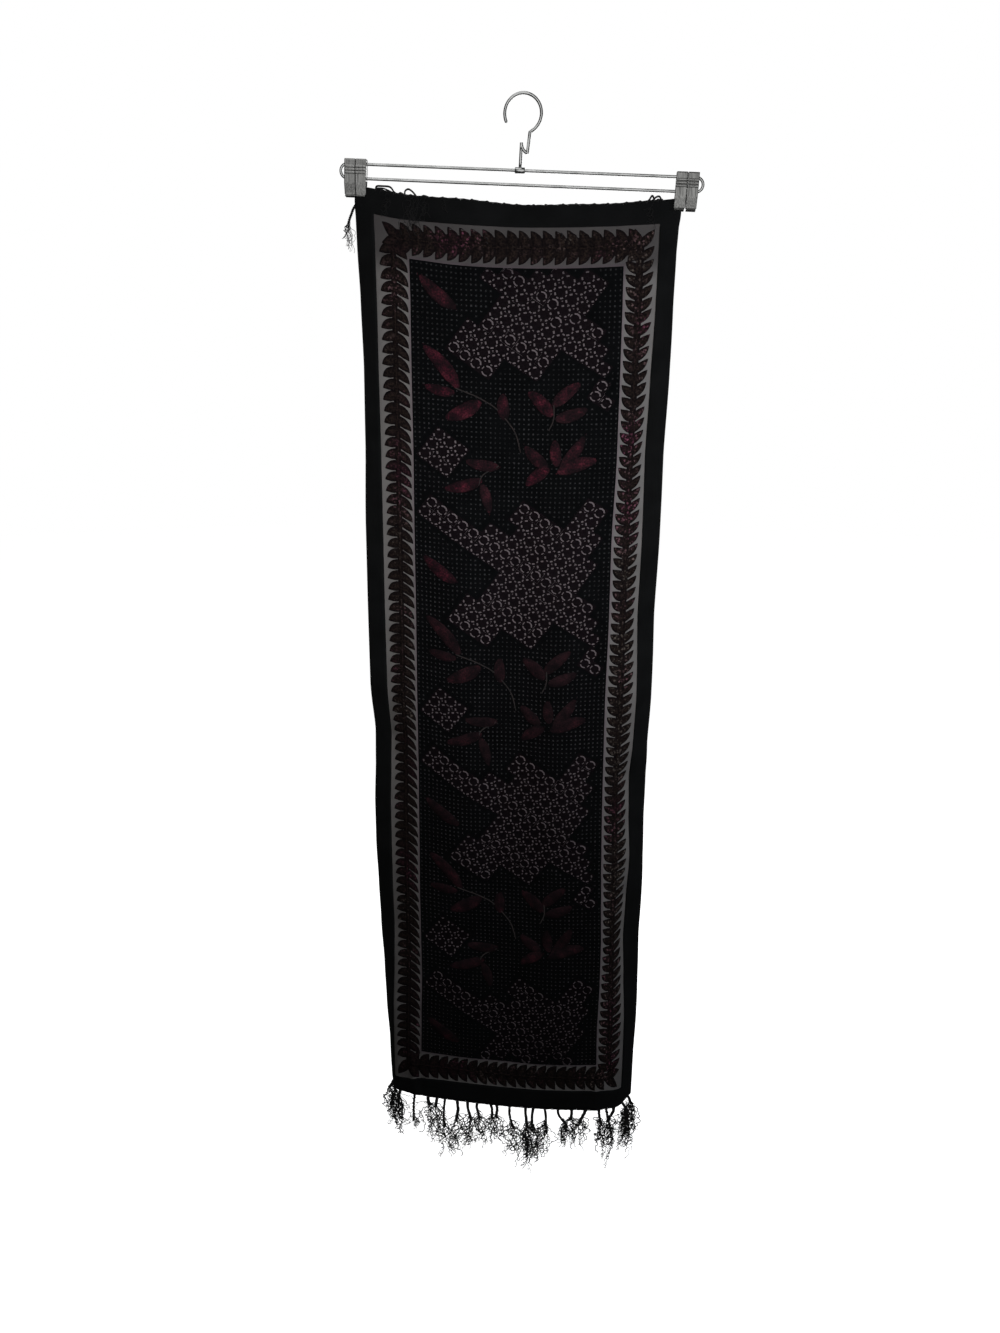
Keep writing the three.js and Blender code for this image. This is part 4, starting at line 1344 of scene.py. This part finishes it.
def clip_jaw(shape, across, side, pinch):
    """One pressed jaw with rounded long edges and a narrower lip."""
    line = jaw_profile(pinch)
    ways = unit(np.gradient(line, axis=0))
    outward = np.stack([ways[:, 1], -ways[:, 0]], 1)
    count = len(line)
    narrow = np.where(line[:, 1] > JAW_BELOW - 2.6, LIP_NARROWER, 1.0)
    stations = [(inset - CLIP_WIDTH / 2, thick) for inset, thick in JAW_EDGE]
    stations += [(-x, thick) for x, thick in stations[::-1]]
    points = []
    for x, thick in stations:
        for profile in (line, line + outward * thick):
            for (out, down), share in zip(profile, narrow):
                points.append((across + x * share, side * out, UPPER_BAR - down))
    faces = []
    for s in range(len(stations) - 1):
        a, b = s * 2 * count, (s + 1) * 2 * count
        for i in range(count - 1):
            faces.append((a + i, b + i, b + i + 1, a + i + 1))
            faces.append((a + count + i, a + count + i + 1, b + count + i + 1, b + count + i))
        faces.append((a, a + count, b + count, b))
        faces.append((a + count - 1, b + count - 1, b + 2 * count - 1, a + 2 * count - 1))
    last = (len(stations) - 1) * 2 * count
    for i in range(count - 1):
        faces.append((i, i + 1, count + i + 1, count + i))
        faces.append((last + i, last + count + i, last + count + i + 1, last + i + 1))
    if side > 0:
        faces = [f[::-1] for f in faces]
    shape.add(tilted(points), faces)


def clip_cheek(shape, across, edge):
    """A folded side plate between the jaws, which the bars run through."""
    xs = sorted(across + edge * (CLIP_WIDTH / 2 - inset) for inset in CHEEK_INSET)
    box = [(x, y, UPPER_BAR - down) for x in xs for y in (-CHEEK_HALF, CHEEK_HALF) for down in CHEEK_ENDS]
    quads = [(0, 1, 3, 2), (4, 6, 7, 5), (0, 4, 5, 1), (2, 3, 7, 6), (0, 2, 6, 4), (1, 5, 7, 3)]
    shape.add(tilted(box), quads)


def clip_body(name, across, grips):
    """A spring clip: two pressed jaws and two cheeks."""
    shape = Shape()
    for side in (-1, 1):
        clip_jaw(shape, across, side, 0.8 + GAP if grips else GAP / 2)
        clip_cheek(shape, across, side)
    return shape.object(name, CLIP_STEEL, rounded=False)


# ---- put together ----

for leftover in ("Cube", "Light", "Camera"):
    if leftover in bpy.data.objects:
        bpy.data.objects.remove(bpy.data.objects[leftover])

rings, whole = ring_sites()
ground = sheer_ground()
patterned = [leaf_garlands(), dotted_ground(rings), ring_patches(rings, whole), sprigs()]
cloth_pieces = [border_pile(), panel_back(), *patterned]
bottom = bottom_fringe()
top = top_fringe()
loop = hanger_loop()
hook = hanger_hook()

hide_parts("scarf_cloth")
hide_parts("bottom_fringe")
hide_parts("top_fringe")
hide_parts("hanger_upper_bar", "hanger_lower_bar", "hanger_left_end", "hanger_right_end")
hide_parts("hook")
for piece in (ground, *cloth_pieces):
    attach(piece, "root")
for piece in (bottom, top):
    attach(piece, "root")
for piece in (loop, hook):
    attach(piece, "root")
for name, across, grips in CLIPS:
    clip = clip_body(name, across, grips)
    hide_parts(name + "_saddle", name + "_front_jaw", name + "_back_jaw")
    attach(clip, "root")

# ---- stage, camera and light ----

FLOOR = cad_low.z - 0.12


def pale_floor():
    n = Nodes("floor_white", 0.9)
    n.give("Base Color", (0.9, 0.9, 0.9, 1))
    n.give("Emission Color", (*WHITE, 1))
    n.give("Emission Strength", 1.0)
    bpy.ops.mesh.primitive_circle_add(vertices=96, radius=9.0, fill_type="NGON", location=(0, 0, FLOOR))
    floor = bpy.context.object
    floor.name = "floor"
    floor.data.materials.append(n.made)
    floor.visible_diffuse = False
    floor.visible_glossy = False


def studio_world():
    world = bpy.data.worlds.new("studio")
    bpy.context.scene.world = world
    world.use_nodes = True
    background = world.node_tree.nodes["Background"]
    background.inputs["Color"].default_value = (*WHITE, 1)
    background.inputs["Strength"].default_value = 1.0
    world.cycles_visibility.diffuse = False
    world.cycles_visibility.glossy = False


def area_light(name, place, target, size, power, colour=WHITE, diffuse=True, glossy=True):
    data = bpy.data.lights.new(name, "AREA")
    data.shape = "DISK"
    data.size = size
    data.energy = power
    data.color = colour
    lamp = bpy.data.objects.new(name, data)
    lamp.location = place
    lamp.rotation_mode = "QUATERNION"
    lamp.rotation_quaternion = (Vector(target) - Vector(place)).to_track_quat("-Z", "Y")
    lamp.visible_camera = False
    lamp.visible_diffuse = diffuse
    lamp.visible_glossy = glossy
    bpy.context.scene.collection.objects.link(lamp)


CAMERA_AT = (0.0900, -1.3124, -0.3423)
CAMERA_YAW = 5.0
CAMERA_PITCH = 15.188
CAMERA_ROLL = 0.311
FOCAL_PIXELS = 1000.0
PHOTO_TALL = 1333.0


def photo_camera():
    yaw, pitch, roll = (math.radians(a) for a in (CAMERA_YAW, CAMERA_PITCH, CAMERA_ROLL))
    level = Vector((-math.sin(yaw), math.cos(yaw), 0))
    ahead = level * math.cos(pitch) - Vector((0, 0, math.sin(pitch)))
    right0 = Vector((math.cos(yaw), math.sin(yaw), 0))
    down0 = ahead.cross(right0)
    right = right0 * math.cos(roll) - down0 * math.sin(roll)
    down = down0 * math.cos(roll) + right0 * math.sin(roll)
    data = bpy.data.cameras.new("photo_camera")
    data.sensor_width = 36.0
    data.lens = data.sensor_width * FOCAL_PIXELS / PHOTO_TALL
    camera = bpy.data.objects.new("photo_camera", data)
    turned = Matrix((right, -down, -ahead)).transposed().to_4x4()
    camera.matrix_world = Matrix.Translation(CAMERA_AT) @ turned
    bpy.context.scene.collection.objects.link(camera)
    bpy.context.scene.camera = camera


photo_camera()
pale_floor()
studio_world()
area_light("key", (0.04, -0.66, -0.40), (0.0, 0.0, -0.40), 0.35, 5.1, glossy=False)
area_light("front_card", (0.3, -2.1, 0.2), (0.0, 0.0, -0.3), 2.2, 0.2, glossy=False)
area_light("front_glow", (0.2, -2.1, -0.3), (0.0, 0.0, -0.3), 3.2, 32.0, diffuse=False)
area_light("overhead", (-0.35, -0.40, 1.15), (-0.1, -0.05, -0.1), 1.2, 6.0)
area_light("side", (1.3, -0.5, -0.3), (0.1, 0, -0.4), 0.6, 10.2, (0.86, 0.93, 1.0), glossy=False)
area_light("rear", (0.3, 1.6, -0.3), (0.0, 0, -0.7), 1.2, 14.0)
bpy.context.scene.view_settings.view_transform = "Standard"
